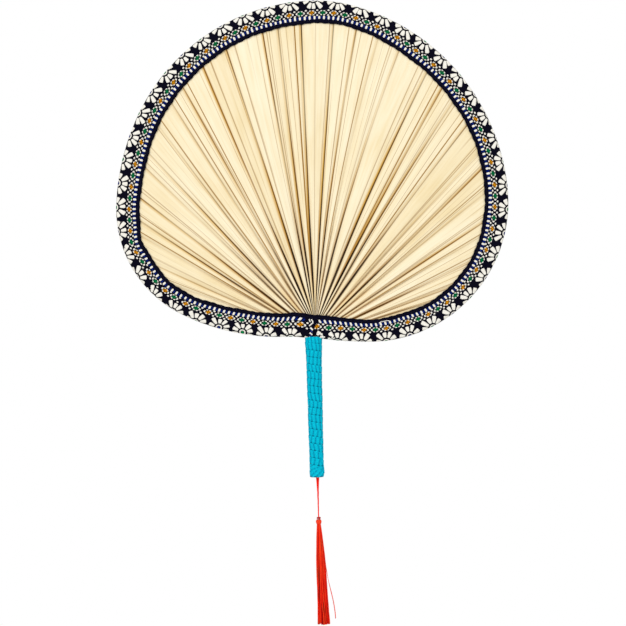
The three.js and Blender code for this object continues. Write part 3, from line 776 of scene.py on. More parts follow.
def tape_material(colours):
    """Ribbed cyan tape with painted shade in its grooves, painted shadow where one turn meets the next, and
    painted highlights on its ribs.
    """
    material, tree = new_material("cyan_tape")
    place = tree.parts("cloth_place")
    weave = tree.group(weave_group(), along=place[0], across=place[1], pitch=0.55)
    groove = tree.number("groove")
    patchy = tree.ramp(weave["Fleck"], 0.35, 0.7)
    # Painted shade: the grooves take the darker groove colour, in patches
    dark = tree.times(tree.ramp(groove, 0.1, 0.7), tree.ramp(patchy, 0, 1, 0.35, 1.0))
    base = tree.mix(dark, colours.tape, colours.tape_groove_shade)
    # Painted shadow along the lower part of each turn, where it meets the next
    seam = tree.ramp(place[1], -3.2, -1.5, 1.0, 0.0)
    seam_shadow = tree.times(seam, tree.ramp(groove, 0.03, 0.35, 0.2, 1.0))
    seam_shadow = tree.times(seam_shadow, tree.ramp(patchy, 0.1, 0.7, 0.6, 1.0))
    base = tree.mix(seam_shadow, base, srgb(0, 44, 82))
    # Painted highlights: light cyan on the ribs' tops, in patches
    light = tree.times(tree.ramp(weave["Fleck"], 0.5, 0.66), tree.ramp(groove, 0.0, 0.35, 0.75, 0.0))
    base = tree.mix(light, base, srgb(0, 232, 250))
    normal = tree.bump(weave["Height"], 0.35)
    tree.surface(base_color=base, roughness=0.7, normal=normal, specular_ior_level=0.05)
    return material


def thread_material(name, main, light, dark):
    """Silky twisted thread; tone runs from painted shade to painted highlight from one thread to the next."""
    material, tree = new_material(name)
    run, around, tone = tree.parts("cloth_place")
    twist = tree.math("SINE", tree.plus(tree.times(run, 9.0), around))
    # Painted highlight towards the light colour and painted shade towards the dark colour, by tone
    base = tree.mix(tree.ramp(tone, 0.5, 1.0, 0.0, 0.75), main, light)
    base = tree.mix(tree.ramp(tone, 0.0, 0.42, 0.9, 0.0), base, dark)
    normal = tree.bump(tree.ramp(twist, -1, 1), 0.3, 0.0001)
    tree.surface(base_color=base, roughness=0.5, normal=normal, specular_ior_level=0.06)
    return material


def plain_red_material(colours):
    """The cord's hidden root: thread without values on its points."""
    material, tree = new_material("root_thread")
    place = tree.add("ShaderNodeTexCoord").outputs["Object"]
    noise = tree.noise(place, 1500.0)
    base = tree.mix(tree.ramp(noise, 0.35, 0.7), colours.red, colours.dark_red)
    tree.surface(base_color=base, roughness=0.5, normal=tree.bump(noise, 0.4))
    return material


# Leaf

def leaf_pleats(chance):
    """Each pleat's edges in degrees, its ridge, bow, swell, tone and the strengths of its lines."""
    first, last = PLEAT_ANGLES
    pitch = (last - first) / PLEATS
    pleats = []
    for i in range(PLEATS):
        wander = 0.12 * math.sin(2.1 * i) + chance.uniform(-0.13, 0.13) if i else 0.0
        ridge = chance.uniform(0.64, 0.8)
        pleat = {
            "start": first + pitch * (i + wander),
            "ridge": ridge if i >= MIDDLE_PLEAT else 1 - ridge,
            "strength": chance.uniform(0.25, 1.0),
            "ridge_strength": chance.uniform(0.35, 1.0),
            # How dark the painted shadow in this pleat's folds is
            "deep": chance.random() ** 3 * 0.8,
            "bow": chance.uniform(-1.3, 1.3),
            "swell": 1 - 0.25 * chance.random(),
            "tone": chance.random() ** 2,
            "phase": chance.uniform(0, 2 * math.pi),
        }
        pleat.update(TUCKS.get(i, {}))
        pleats.append(pleat)
    return pleats + [dict(pleats[-1], start=last)]


def edge_reach(origin, way, outline):
    """How far the leaf's outline lies from a place in one direction."""
    edge = np.roll(outline, -1, axis=0) - outline
    offset = outline - origin
    cross = way[0] * edge[:, 1] - way[1] * edge[:, 0]
    cross = np.where(np.abs(cross) < 1e-9, 1e-9, cross)
    along = (offset[:, 0] * edge[:, 1] - offset[:, 1] * edge[:, 0]) / cross
    share = (offset[:, 0] * way[1] - offset[:, 1] * way[0]) / cross
    return np.where((share >= 0) & (share <= 1), along, 0).max()


def leaf_line(angle, bow, rows, outline):
    """One line of the leaf from its root to the rim, bowed by some degrees, and its start's reach."""
    way = np.array([math.cos(angle), math.sin(angle)])
    reach = mix(*LEAF_ROOT_REACH, abs(way[0]))
    root = np.array([LEAF_ROOT_X, LEAF_ROOT_Z + LEAF_ROOT_RISE * max(0, way[1]) ** 3])
    start = root + way * reach
    hub = np.array(HUB) + way * np.array([HUB_HALF_WIDTH, HUB_HALF_HEIGHT])
    end = hub + way * edge_reach(hub, way, outline)
    chord = end - start
    lean = math.atan2(chord[1], chord[0]) + math.radians(bow)
    turn = start + np.array([math.cos(lean), math.sin(lean)]) * np.linalg.norm(chord) * BOW_PLACE
    t = rows[:, None]
    return (1 - t) ** 2 * start + 2 * t * (1 - t) * turn + t**2 * end, reach


def pleat_profile(pleat, rows):
    """Shares of the pleat's width and rises over its depth, from a full fold at the root to a flat one."""
    opened = ease(rows, 0.05, 0.7)
    ridge = pleat["ridge"]
    narrow_first = ridge < 0.5
    wide = 1 - ridge if narrow_first else ridge
    lines = [
        (0.0 * rows, -0.5 + 0.0 * rows),
        (mix(0.13, 0.2, opened), mix(0.3, -0.24, opened)),
        (wide * 0.58 + 0.0 * rows, mix(0.45, 0.1, opened)),
        (wide + 0.0 * rows, 0.5 + 0.0 * rows),
        (mix(wide, 1, mix(0.6, 0.5, opened)), mix(0.35, 0.0, opened)),
    ]
    if narrow_first:
        lines = lines[:1] + [(1 - share, rise) for share, rise in lines[:0:-1]]
    return lines


def leaf_column(pleats, number, share, rise, rows, outline):
    """One column of the leaf's points from root to rim: front, back and the material's three values."""
    pleat, following = pleats[number], pleats[number + 1]
    pitch = math.radians(following["start"] - pleat["start"])
    rim_share = share[-1]
    angle = mix(pleat["start"], following["start"], rim_share)
    bow = mix(pleat["bow"], following["bow"], rim_share) + SIDE_BOW * float(bell(angle, *SIDE_BOW_PLACE))
    place, reach = leaf_line(math.radians(angle), bow, rows, outline)
    along = np.linalg.norm(place - place[0], axis=1)
    width = pitch * (along + reach)
    across = np.gradient(place, axis=0)
    across = np.stack([-across[:, 1], across[:, 0]], 1) / np.linalg.norm(across, axis=1, keepdims=True)
    wave = LEAF_WAVE * np.sin(rows * 9 + pleat["phase"]) * rows * (1 - rows)
    place = place + across * ((share - rim_share) * width + wave)[:, None]

    room = np.maximum(0, RIM.distance(place) - RIBBON_GRIP) * DEEPENING
    depth = RIM_PLEAT_DEPTH + np.minimum((HUB_PLEAT_DEPTH - RIM_PLEAT_DEPTH) * (1 - rows) ** 0.9, room)
    # The two sides of a steep flank lie further apart, so that it is as thick as the rest
    steep = np.minimum(STEEPEST, np.hypot(1, (depth - RIM_PLEAT_DEPTH) / width))
    height = rise * depth * pleat["swell"]
    half = LEAF_THICKNESS * steep / 2
    front, back = (np.stack([place[:, 0], -height + side * half, place[:, 1]], 1) for side in (-1, 1))

    near = pleat if rim_share < 0.5 else following
    fading = 0.7 + 0.3 * np.sin(rows * 8 + near["phase"]) + 0.3 * (1 - rows)
    scale = np.maximum(width, NARROW_PLEAT)
    crease = mix(0.25, 0.75, math.sin(3 * pleat["phase"]) ** 2)
    if pleat["ridge"] > 0.5:
        crease *= pleat["ridge"]
    sideways = float(ease(abs(angle - 90), *SIDEWAYS))
    # Painted shadow in the folds: strongest near the root and in tucks, weaker in pleats that lie sideways
    root_fold_shadow = (1 - ease(along, *ROOT_SHADOW_RUN)) * mix(1, SIDEWAYS_SHADOW, sideways)
    deep = near["deep"] * ease(rows, 0.05, 0.3) * (0.75 + 0.25 * np.sin(rows * 11 + near["phase"]))
    lines = np.stack([number + share, along, near["strength"] * fading * mix(1, 0.7, sideways)], 1)
    to_fold = np.minimum(share, 1 - share) * scale
    to_ridge = np.abs(share - pleat["ridge"]) * scale
    folds = np.stack([to_fold, to_ridge, np.maximum(root_fold_shadow, deep)], 1)
    shown = pleat["ridge_strength"] * ease(rows, 0.1, 0.35)
    tones = np.stack([0 * rows + pleat["tone"], shown, np.abs(share - crease) * scale], 1)
    return front, back, lines, folds, tones


def build_leaf(context):
    """The pleated leaf, a closed sheet with the values that its material reads."""
    pleats = leaf_pleats(random.Random(LEAF_SEED))
    rows = np.concatenate([ROOT_ROWS, np.linspace(*LEAF_ROWS), RIM_ROWS])
    outline = RIM.places + RIM.inward * LEAF_INSET
    columns = [(i, share, rise) for i in range(PLEATS) for share, rise in pleat_profile(pleats[i], rows)]
    columns.append((PLEATS - 1, 1 + 0.0 * rows, -0.5 + 0.0 * rows))
    made = [leaf_column(pleats, *column, rows, outline) for column in columns]
    front, back, *kept = (np.array(each) for each in zip(*made))
    points, faces = slab(front, back)
    values = {}
    for key, numbers in zip(("leaf_place", "leaf_folds", "leaf_tone"), kept):
        values[key] = np.concatenate([numbers.reshape(-1, 3)] * 2)
    material = leaf_material(context.scene.fan_colours)
    piece("palm_leaf", points, faces, material, "fan", ["leaf_blade"], values)


# Ribbon

def build_ribbon_band(context):
    """The ribbon's ground: a woven strip with hems, an opening for the stalk and a lapped end."""
    half = context.scene.fan_sizes.ribbon_half / MM
    runs = np.arange(1 - LAP_HALF_LENGTH, RIM.length + LAP_END, RIM_STEP * 0.9)
    left, right = np.linspace(-half, -FLANK_START, FLANK_ROWS), np.linspace(FLANK_START, half, FLANK_ROWS)
    widths = np.concatenate([left, np.linspace(-FOLD_HALF, FOLD_HALF, FOLD_ROWS), right])
    run, width = np.meshgrid(runs, widths, indexing="ij")
    hem = 1 + 0.012 * np.sin(run / 1.3) + 0.01 * np.sin(run / 5.1)
    width = width * mix(1, hem, ease(np.abs(width), half - HEM_WIDTH, half))
    cut = LAP_CUT * (1 - ease(np.abs(width), CUT_START, half))
    run = run - cut * ease(run, RIM.length - CUT_RUN, RIM.length + LAP_END)
    outer = RIBBON.place(run, width, 0.0)
    inner = RIBBON.place(run, width, -RIBBON_THICKNESS)
    long, wide = STALK_OPENING
    from_neck = np.minimum(np.abs(run), np.abs(RIM.length - run))
    closed = (from_neck > long) | (np.abs(width + RIBBON.shift(run)) > wide)
    points, faces = slab(outer, inner, closed[:-1, :-1] & closed[1:, 1:])
    cloth = np.stack([run, width, np.zeros_like(run)], -1).reshape(-1, 3)
    ground = context.scene.fan_colours.ground
    material = cloth_material("ribbon_ground", ground, srgb(20, 18, 44), 0.6, 0.5, rough=0.95, shine=0.04)
    values = {"cloth_place": np.concatenate([cloth, cloth])}
    band = piece("woven_ribbon", points, faces, material, "fan", ["rim_ribbon"], values)
    return band, 2 * half * MM, (runs[-1] - runs[0]) * MM


class Figures:
    """Raised figures of one colour, gathered as grids of points on the flat ribbon."""

    root_height = -0.1
    edge_height = 0.05
    crown_height = 0.2

    def __init__(self):
        self.cloth, self.faces, self.count = [], [], 0

    def add(self, run, width):
        """One figure: its grid of runs and widths."""
        height = np.full(run.shape, self.edge_height)
        height[1:-1, 1:-1] = self.crown_height
        top = np.stack([run, width, height], -1)
        sunk = np.stack([run, width, np.full(run.shape, self.root_height)], -1)
        points, faces = slab(top, sunk)
        self.cloth.append(points)
        self.faces.append(faces + self.count)
        self.count += len(points)

    @staticmethod
    def square(inner):
        """A grid of four lines each way from -1 to 1, the inner ones at a share."""
        return np.meshgrid([-1, -inner, inner, 1], [-1, -inner, inner, 1], indexing="ij")

    def patch(self, centre, half_run, half_width, corner, lean=0.0):
        """A rounded lump, its corners drawn in; lean slants it along the run."""
        u, v = self.square(0.6)
        drawn = np.where((np.abs(u) == 1) & (np.abs(v) == 1), corner, 1)
        across = v * drawn * half_width
        self.add(centre[0] + u * drawn * half_run + lean * across, centre[1] + across)

    def lozenge(self, centre, half_run, half_width):
        """A square lump that stands on its corner."""
        u, v = self.square(0.5)
        self.add(centre[0] + (u + v) / 2 * half_run, centre[1] + (u - v) / 2 * half_width)

    def bar(self, start, end, half):
        """A straight stroke between two points of the cloth."""
        start, end = np.array(start), np.array(end)
        along = (end - start) / np.linalg.norm(end - start)
        side = np.array([-along[1], along[0]]) * half
        t, u = np.meshgrid([0, 0.15, 0.85, 1], [-1, -0.4, 0.4, 1], indexing="ij")
        place = start + t[..., None] * (end - start) + u[..., None] * side
        self.add(place[..., 0], place[..., 1])

    def petal(self, centre, angle, start, end, half):
        """A petal that widens from the flower's middle to a blunt end."""
        shares = np.array([0, 0.1, 0.35, 0.7, 0.92, 1])
        spread = np.array([0.46, 0.62, 0.82, 0.97, 1, 0.8])
        u = np.array([-1, -0.6, 0, 0.6, 1])
        out = start + shares[:, None] * (end - start) + 0.2 * (1 - u**2) * (shares[:, None] > 0.95)
        side = spread[:, None] * u * half
        run = centre[0] + out * math.sin(angle) + side * math.cos(angle)
        width = centre[1] + out * math.cos(angle) - side * math.sin(angle)
        self.add(run, width)

    def ring(self, centre, inner, outer):
        """A flat ring about a flower's eye."""
        across, round_it = np.linspace(inner, outer, 4), np.linspace(0, 2 * math.pi, 21)
        radius, turn = np.meshgrid(across, round_it, indexing="ij")
        self.add(centre[0] + radius * np.cos(turn), centre[1] + radius * np.sin(turn))

    def make(self, name, material):
        """All figures laid over the rim as one piece."""
        cloth = np.concatenate(self.cloth)
        points = RIBBON.place(cloth[:, 0], cloth[:, 1], cloth[:, 2])
        faces = np.concatenate(self.faces)
        return piece(name, points, faces, material, "fan", (), {"cloth_place": cloth})


# Rows of the ribbon's pattern, from its middle line, and the sizes of their figures
PATTERN_SEED = 7
PETALS = 10
PETAL_START = 4.5
OPENING_PETAL_START = 6.4
PETAL_HALF = 1.9
# A petal is made where its middle, this far out, keeps clear of the ribbon's two ends
PETAL_MIDDLE = 7
PETALS_FROM = 3.0
PETALS_TO = 4.5
FLOWER_SQUARENESS = 0.85
FLOWER_TURN = -0.08
EYE_RING = (1.85, 3.0)
EYE = 1.8
DIAMOND_ROW = 13.2
DIAMOND_STEP = (1.12, 0.92)
DIAMOND_REACH = (1.1, 0.9)
DIAMOND_BAR = 0.45
CHEVRON_HALF = (4.4, 2.8)
CHEVRON_SHARES = (0.18, 0.64)
CHEVRON_STITCH = (0.82, 0.5)
CHEVRON_LEAN = 0.8
# Wedges where two chevrons meet: their distance from the row, half sizes and corner
WEDGE_OFFSET = 2.3
WEDGE = (1.0, 0.7, 0.6)
DASH_ROW = 17.8
DASH_HALF = (1.05, 1.6)
DASHES_PER_FLOWER = 4.5
# The first dash's place in steps, and the lean beside the handle and the run over which it fades
FIRST_DASH = 0.8
DASH_LEAN = 0.75
LEAN_RUN = 60
# Blue between two white dashes: its row, and the row and half length of the bar beside it
BLUE_ROW = DASH_ROW - 0.35
BLUE_BAR_ROW = DASH_ROW + 1.45
BLUE_BAR_HALF = 1.2
# How far a patch's corners are drawn in, and the size of the blue over the size of a white dash
PATCH_CORNER = 0.8
BLUE_CORNER = 0.9
BLUE_SHARE = (0.85, 0.66)
# The diamonds' place after a flower's middle, and how far it grows towards the lapped end
DIAMOND_LAG = 1.8
LATE_LAG = (860, 965, 8.0)
# Run from the rim's ends that the lap and the stalk take from the pattern
LAP_BARE = 7.0
# Flowers' share of that growth
FLOWER_LATE = 0.17
# Run and row of the loose float's bends, and of the opening's petals with their half sizes
FLOAT_BENDS = ((61.5, 19.0), (64.0, 20.0), (71.5, 19.9), (73.0, 19.3))
OPENING_PETALS = ((7.0, 6.0, 1.1, 1.9), (3.4, 7.6, 0.8, 1.2), (9.6, 4.2, 0.9, 0.8))
# Strokes at the lapped end, from its cut edge back
LAP_STROKES = (((-6.0, 19.2), (-4.6, 16.8)), ((-4.0, 19.4), (-1.9, 17.2)), ((-1.9, 17.2), (-5.2, 13.4)))
# Stitches: their row, pitch, the share of it that shows, thickness, and height at the ends and over them
HEM_STITCH_ROW = 21.0
STITCH_PITCH = 3.4
STITCH_SHARE = 0.72
STITCH_RADIUS = 0.17
STITCH_LOW = 0.02
STITCH_RISE = 0.16


def diamond(bright, pale, run, row, side):
    """Three slanting bars that fill a diamond, between two chevrons of small stitches."""
    wide, tall = DIAMOND_STEP
    long, high = DIAMOND_REACH
    for step in (-1, 0, 1):
        at, level = run + step * wide, row + step * tall
        bright.bar((at - long, side * (level + high)), (at + long, side * (level - high)), DIAMOND_BAR)
    wide, tall = CHEVRON_HALF
    for hand in (-1, 1):
        for down in (-1, 1):
            for share in CHEVRON_SHARES:
                place = (run + hand * wide * (1 - share), side * (row + down * tall * share))
                pale.patch(place, *CHEVRON_STITCH, PATCH_CORNER, -hand * down * side * CHEVRON_LEAN)


def crossing(pale, run, row, side):
    """White wedges over and under the dark point where two chevrons meet."""
    for down in (-1, 1):
        pale.patch((run, side * (row + down * WEDGE_OFFSET)), *WEDGE)


def add_flower(pale, eyes, middle, reach, chance):
    """One daisy round the fold, without the petals that the stalk's opening takes."""
    whole = 0 < middle < RIM.length
    start = PETAL_START if whole else OPENING_PETAL_START
    for k in range(PETALS):
        angle = FLOWER_TURN + 2 * math.pi * k / PETALS + chance.uniform(-0.06, 0.06)
        squareness = max(abs(math.cos(angle)), abs(math.sin(angle))) ** FLOWER_SQUARENESS
        out = reach * chance.uniform(0.95, 1.03) / squareness
        half = PETAL_HALF * chance.uniform(0.88, 1.08)
        far = middle + PETAL_MIDDLE * math.sin(angle)
        if PETALS_FROM < far < RIM.length - PETALS_TO:
            pale.petal((middle, 0), angle, start, out, half)
    if whole:
        pale.ring((middle, 0), *EYE_RING)
        eyes.lozenge((middle, 0), EYE, EYE)


def pattern_late(run):
    """How far the pattern lags towards the lapped end, where the ribbon was stretched."""
    start, end, late = LATE_LAG
    return late * float(ease(run, start, end))


def add_dashes(pale, blue, side, pitch, chance):
    """The row of white and blue dashes, upright at the top and leaning out beside the handle."""
    step = pitch / DASHES_PER_FLOWER
    wide, tall = DASH_HALF
    for k in range(math.ceil(RIM.length / step)):
        run = (k + FIRST_DASH) * step
        run += pattern_late(run)
        if run > RIM.length - LAP_BARE - 1:
            continue
        lean = DASH_LEAN * (math.exp(-(RIM.length - run) / LEAN_RUN) - math.exp(-run / LEAN_RUN))
        height = tall * chance.uniform(0.85, 1.05)
        pale.patch((run, side * DASH_ROW), wide, height, PATCH_CORNER, lean * side)
        between = run + step / 2
        if between > RIM.length - LAP_BARE - 2:
            continue
        shares = (wide * BLUE_SHARE[0], tall * BLUE_SHARE[1])
        blue.patch((between, side * BLUE_ROW), *shares, BLUE_CORNER, lean * side)
        low = side * BLUE_BAR_ROW
        blue.bar((between - BLUE_BAR_HALF, low), (between + BLUE_BAR_HALF, low), 0.2)


def add_float(pale, side):
    """A float of white thread that has come loose beside the dashes."""
    for start, end in zip(FLOAT_BENDS, FLOAT_BENDS[1:]):
        pale.bar((start[0], side * start[1]), (end[0], side * end[1]), 0.32)


def add_opening_petals(pale, side):
    """What shows of the daisy beside the handle, on the ribbon's right end."""
    for run, row, wide, tall in OPENING_PETALS:
        pale.patch((run, side * row), wide, tall, PATCH_CORNER)


def add_lap_end(pale, blue, side):
    """The pattern's end, turned down where the ribbon is cut off over the handle."""
    end = RIM.length
    for start, stop in LAP_STROKES:
        pale.bar((end + start[0], side * start[1]), (end + stop[0], side * stop[1]), 0.5)
    for k in range(3):
        row = 11.5 - 4.4 * k
        pale.bar((end - 4.0, side * (row + 0.8)), (end - 1.4, side * (row - 0.8)), 0.75)
        blue.bar((end - 3.6, side * (row - 1.5)), (end - 1.4, side * (row - 2.7)), 0.6)


def build_figures(context):
    """The pattern: daisies over the fold, and on each face a row of diamonds and a row of dashes."""
    sizes = context.scene.fan_sizes
    chance = random.Random(PATTERN_SEED)
    pale, gold, green, blue = Figures(), Figures(), Figures(), Figures()
    pitch = RIM.length / sizes.flowers
    reach = sizes.petal_reach / MM
    for i in range(sizes.flowers + 1):
        middle = i * pitch
        late = pattern_late(middle)
        add_flower(pale, green if i % 2 else blue, middle + FLOWER_LATE * late, reach, chance)
        lag = DIAMOND_LAG + late
        for side in (-1, 1):
            for bright, run in ((gold, middle + lag), (green, middle + lag + pitch / 2)):
                if run > RIM.length - LAP_BARE:
                    continue
                row = DIAMOND_ROW + chance.uniform(-0.15, 0.15)
                diamond(bright, pale, run, row, side)
                crossing(pale, run + pitch / 4, row, side)
    for side in (-1, 1):
        add_dashes(pale, blue, side, pitch, chance)
        add_lap_end(pale, blue, side)
        add_opening_petals(pale, side)
    add_float(pale, 1)
    colours = context.scene.fan_colours
    made = []
    for name, figures, shade, dark, flecks in (
        ("pale_figures", pale, colours.petals, srgb(206, 196, 170), 0.3),
        ("gold_figures", gold, colours.gold, srgb(150, 90, 6), 0.35),
        ("green_figures", green, colours.green, srgb(2, 60, 34), 0.4),
        ("blue_figures", blue, colours.blue, srgb(6, 10, 50), 0.5),
    ):
        thread = name.replace("figures", "thread")
        material = cloth_material(thread, shade, dark, 0.55, flecks, rough=0.7, shine=0.06)
        made.append(figures.make(name, material))
    return made


def build_stitches():
    """Running stitches of navy thread through both hems."""
    count = round(RIM.length / STITCH_PITCH)
    t = np.linspace(0, 1, 5)
    height = STITCH_LOW + STITCH_RISE * np.sin(math.pi * t)
    paths = []
    for side in (-1, 1):
        start = (np.arange(count) + 0.5 * (side > 0)) * RIM.length / count
        run = start[:, None] + t[None] * STITCH_PITCH * STITCH_SHARE
        paths.append(RIBBON.place(run, side * HEM_STITCH_ROW, height))
    paths = np.concatenate(paths)
    points, faces = tubes(paths, np.full(paths.shape[:2], STITCH_RADIUS), 5, (0, 1, 0))
    place = np.zeros((len(points), 3))
    place[:, 0] = np.arange(len(points)) * 0.7
    place[:, 2] = 0.35
    material = thread_material("stitch_thread", srgb(24, 24, 52), srgb(60, 60, 110), srgb(8, 8, 20))
    return piece("hem_stitches", points, faces, material, "fan", (), {"cloth_place": place})


# Handle

TAPE_TOP = 66.2
TAPE_HALF = 3.5
TAPE_EDGE = np.array([-1, -0.93, -0.75, -0.35, 0.1, 0.6, 0.88, 1])
TAPE_OUTER = np.array([0.95, 1.3, 1.62, 1.76, 1.8, 1.84, 1.78, 1.45])
TAPE_INNER = np.array([0.2, 0.15, 0.15, 0.15, 0.15, 0.2, 0.45, 0.6])
RIB_HEIGHT = 0.224
RIB_SHARPNESS = 0.55
# The ribs fade towards the tape's edges, from and to shares of its half width and by this much
RIB_FADE = (0.8, 1.0)
RIB_FADED = 0.6
# How far the first half turn lies under the rest, and up to which turns
UNDER_STEP = 0.3
UNDER_TURNS = (0.35, 0.6)
# How far the last turn lies over the one before it, and how many turns before the end that starts
OVER_STEP = 0.2
OVER_TURNS = (1.15, 1.0)
TURN_STEPS = 96
# The tape's start in degrees round the stalk, and how many turns lie level in all and at the start
TAPE_START = 100
LEVEL_TURNS = 1.65
LEVEL_START = 0.55
# Turns before the end over which the ribs come to slant, and how much wider apart they are there
SLANT_TURNS = (2.3, 1.9)
SLANT_SPACING = 1.5
# The loose end: heights and degrees round the stalk, from its root to its tip
LOOSE_Z = (-37.0, -59.5)
LOOSE_ANGLE = (-52, -8)
LOOSE_THICKNESS = 0.5


def stalk_surface(angle, z, off):
    """A point over the stalk's oval, off its surface."""
    width, depth = stalk_half_width(z), stalk_half_depth(z)
    out = np.stack([np.cos(angle) / width, np.sin(angle) / depth], -1)
    out /= np.linalg.norm(out, axis=-1, keepdims=True)
    x = width * np.cos(angle) + out[..., 0] * off
    y = depth * np.sin(angle) + out[..., 1] * off
    return np.stack([x, y, z + np.zeros_like(x)], -1)


def build_tape(context):
    """Ribbed tape wound down the stalk, its first and last turns level, and its loose end."""
    sizes = context.scene.fan_sizes
    pitch, rib = sizes.tape_pitch / MM, sizes.rib_pitch / MM
    top, bottom = TAPE_TOP - TAPE_HALF, GRIP_END + TAPE_HALF
    turns = (top - bottom) / pitch + LEVEL_TURNS
    turn = np.linspace(0, turns, round(turns * TURN_STEPS))[:, None]
    middle = np.clip(top - (turn - LEVEL_START) * pitch, bottom, top)
    edge = TAPE_EDGE[None]
    angle = 2 * math.pi * turn + math.radians(TAPE_START)
    arc = turn * 2 * math.pi * stalk_half_width(middle) * 0.95
    slanted = ease(turn, turns - SLANT_TURNS[0], turns - SLANT_TURNS[1])
    leaning = 0.15 * np.sin(turn * 1.7) - slanted
    phase = (arc + leaning * edge * TAPE_HALF) / mix(rib, rib * SLANT_SPACING, slanted)
    groove = 1 - np.abs(np.sin(math.pi * phase)) ** RIB_SHARPNESS
    groove = groove * (1 - ease(np.abs(edge), *RIB_FADE) * RIB_FADED)
    uneven = 0.06 * np.sin(turn * 5.3 + edge) + 0.05 * np.sin(turn * 23.1)
    layer = UNDER_STEP * (ease(turn, *UNDER_TURNS) - 1)
    layer = layer + OVER_STEP * ease(turn, turns - OVER_TURNS[0], turns - OVER_TURNS[1])
    z = middle + edge * TAPE_HALF
    flat = np.zeros_like(z)
    outer = stalk_surface(angle + flat, z, TAPE_OUTER[None] - RIB_HEIGHT * groove + uneven + layer)
    inner = stalk_surface(angle + flat, z, TAPE_INNER[None] + flat)
    points, faces = slab(outer, inner)
    cloth = np.stack([arc + flat, edge * TAPE_HALF + flat, flat], -1).reshape(-1, 3)
    grooves = groove.reshape(-1)
    values = {"cloth_place": np.concatenate([cloth, cloth]), "groove": np.concatenate([grooves, grooves])}
    material = tape_material(context.scene.fan_colours)
    piece("wound_tape", points, faces, material, "fan", ["handle_tape"], values)
    build_loose_end(material)


def build_loose_end(material):
    """The tape's free end, lying slantwise down the right side."""
    t = np.linspace(0, 1, 20)[:, None]
    u = np.linspace(-1, 1, 5)[None] * mix(1.1, 0.5, t)
    z = mix(*LOOSE_Z, t) + u * 0.35
    angle = np.radians(mix(*LOOSE_ANGLE, t**1.3)) + u / 6.5
    off = 1.95 + 0.3 * t**2
    place, under = (stalk_surface(angle, z, off + side * LOOSE_THICKNESS / 2) for side in (1, -1))
    points, faces = slab(place, under)
    count = len(points)
    values = {"cloth_place": np.tile([0.0, 2.0, 0.0], (count, 1)), "groove": np.zeros(count)}
    piece("tape_end", points, faces, material, "fan", (), values)


# Cord and tassel

def twisted(centre, radius, offset, pitch, plies):
    """Plies twisted about a path of points, radius and offset given along it: points, faces, runs."""
    run = np.concatenate([[0], np.cumsum(np.linalg.norm(np.diff(centre, axis=0), axis=1))])
    paths = []
    for ply in range(plies):
        turn = 2 * math.pi * (run / pitch + ply / plies)
        paths.append(centre + np.stack([np.cos(turn), np.sin(turn), 0 * turn], 1) * offset[:, None])
    points, faces = tubes(np.array(paths), np.tile(radius, (plies, 1)), PLY_SIDES, (0, 1, 0))
    return points, faces, np.tile(np.repeat(run, PLY_SIDES), plies)


def thread_values(run, count, tone=0.6):
    """Thread places for one strand's points: run along it, place round it and tone."""
    values = np.zeros((count, 3))
    values[:, 0] = run
    values[:, 1] = np.arange(count)
    values[:, 2] = tone
    return values


def build_cord(context):
    """The red cord of three plies from the handle's end to the knot, and two more splayed at its top."""
    colours = context.scene.fan_colours
    material = thread_material("red_thread", colours.red, srgb(255, 92, 70), colours.dark_red)
    steps = 90
    z = np.linspace(CORD_TOP, KNOT_TOP - CORD_IN_KNOT, steps)
    centre = np.stack([np.full(steps, CORD_X), np.zeros(steps), z], 1)
    down = np.linspace(0, 1, steps)
    radius, offset = mix(*PLY_RADII, down), mix(*PLY_OFFSETS, ease(down, 0.0, 0.8))
    points, faces, run = twisted(centre, radius, offset, CORD_TWIST, CORD_PLIES)
    cord = piece("red_cord", points, faces, material, None, ["tassel_cord"],
                 {"cloth_place": thread_values(run, len(points))})
    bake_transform(cord)
    t = np.linspace(0, 1, 14)
    sides = []
    for hand in (-1, 1):
        x = CORD_X + hand * mix(*SPLAY_OFFSETS, t**0.8)
        sides.append(np.stack([x, 0.2 * hand * np.sin(t * 5), mix(CORD_TOP - 0.05, SPLAY_END, t)], 1))
    points, faces = tubes(np.array(sides), np.tile(mix(*SPLAY_RADII, t), (2, 1)), PLY_SIDES, (0, 1, 0))
    splay = piece("cord_splay", points, faces, material, None, (),
                  {"cloth_place": thread_values(points[:, 2], len(points), 0.45)})
    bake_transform(splay)
    return cord, splay, centre * MM


def build_knot():
    """The dark knot: one thread laid over and under itself."""
    material = thread_material("dark_thread", srgb(182, 10, 12), srgb(214, 34, 32), srgb(110, 0, 4))
    t = np.linspace(0, 2 * math.pi, 73)[:-1]
    around = KNOT_RADIUS + KNOT_SWAY * np.cos(3 * t)
    path = np.stack([around * np.cos(2 * t), around * np.sin(2 * t), KNOT_SWAY * np.sin(3 * t)], 1)
    path = np.concatenate([path, path[:1]]) + np.array([CORD_X, 0, KNOT_Z])
    points, faces = tubes(path[None], np.full((1, len(path)), KNOT_THREAD), 8, (0.05, 0.02, 1))
    values = {"cloth_place": thread_values(np.arange(len(points)) * 0.1, len(points), 0.45)}
    return piece("cord_knot", points, faces, material, "cord", ["tassel_knot"], values)


def skirt_radius(down):
    """Radius of the skirt by the share of its length down from the head."""
    return np.interp(down, *zip(*SKIRT_RADII))


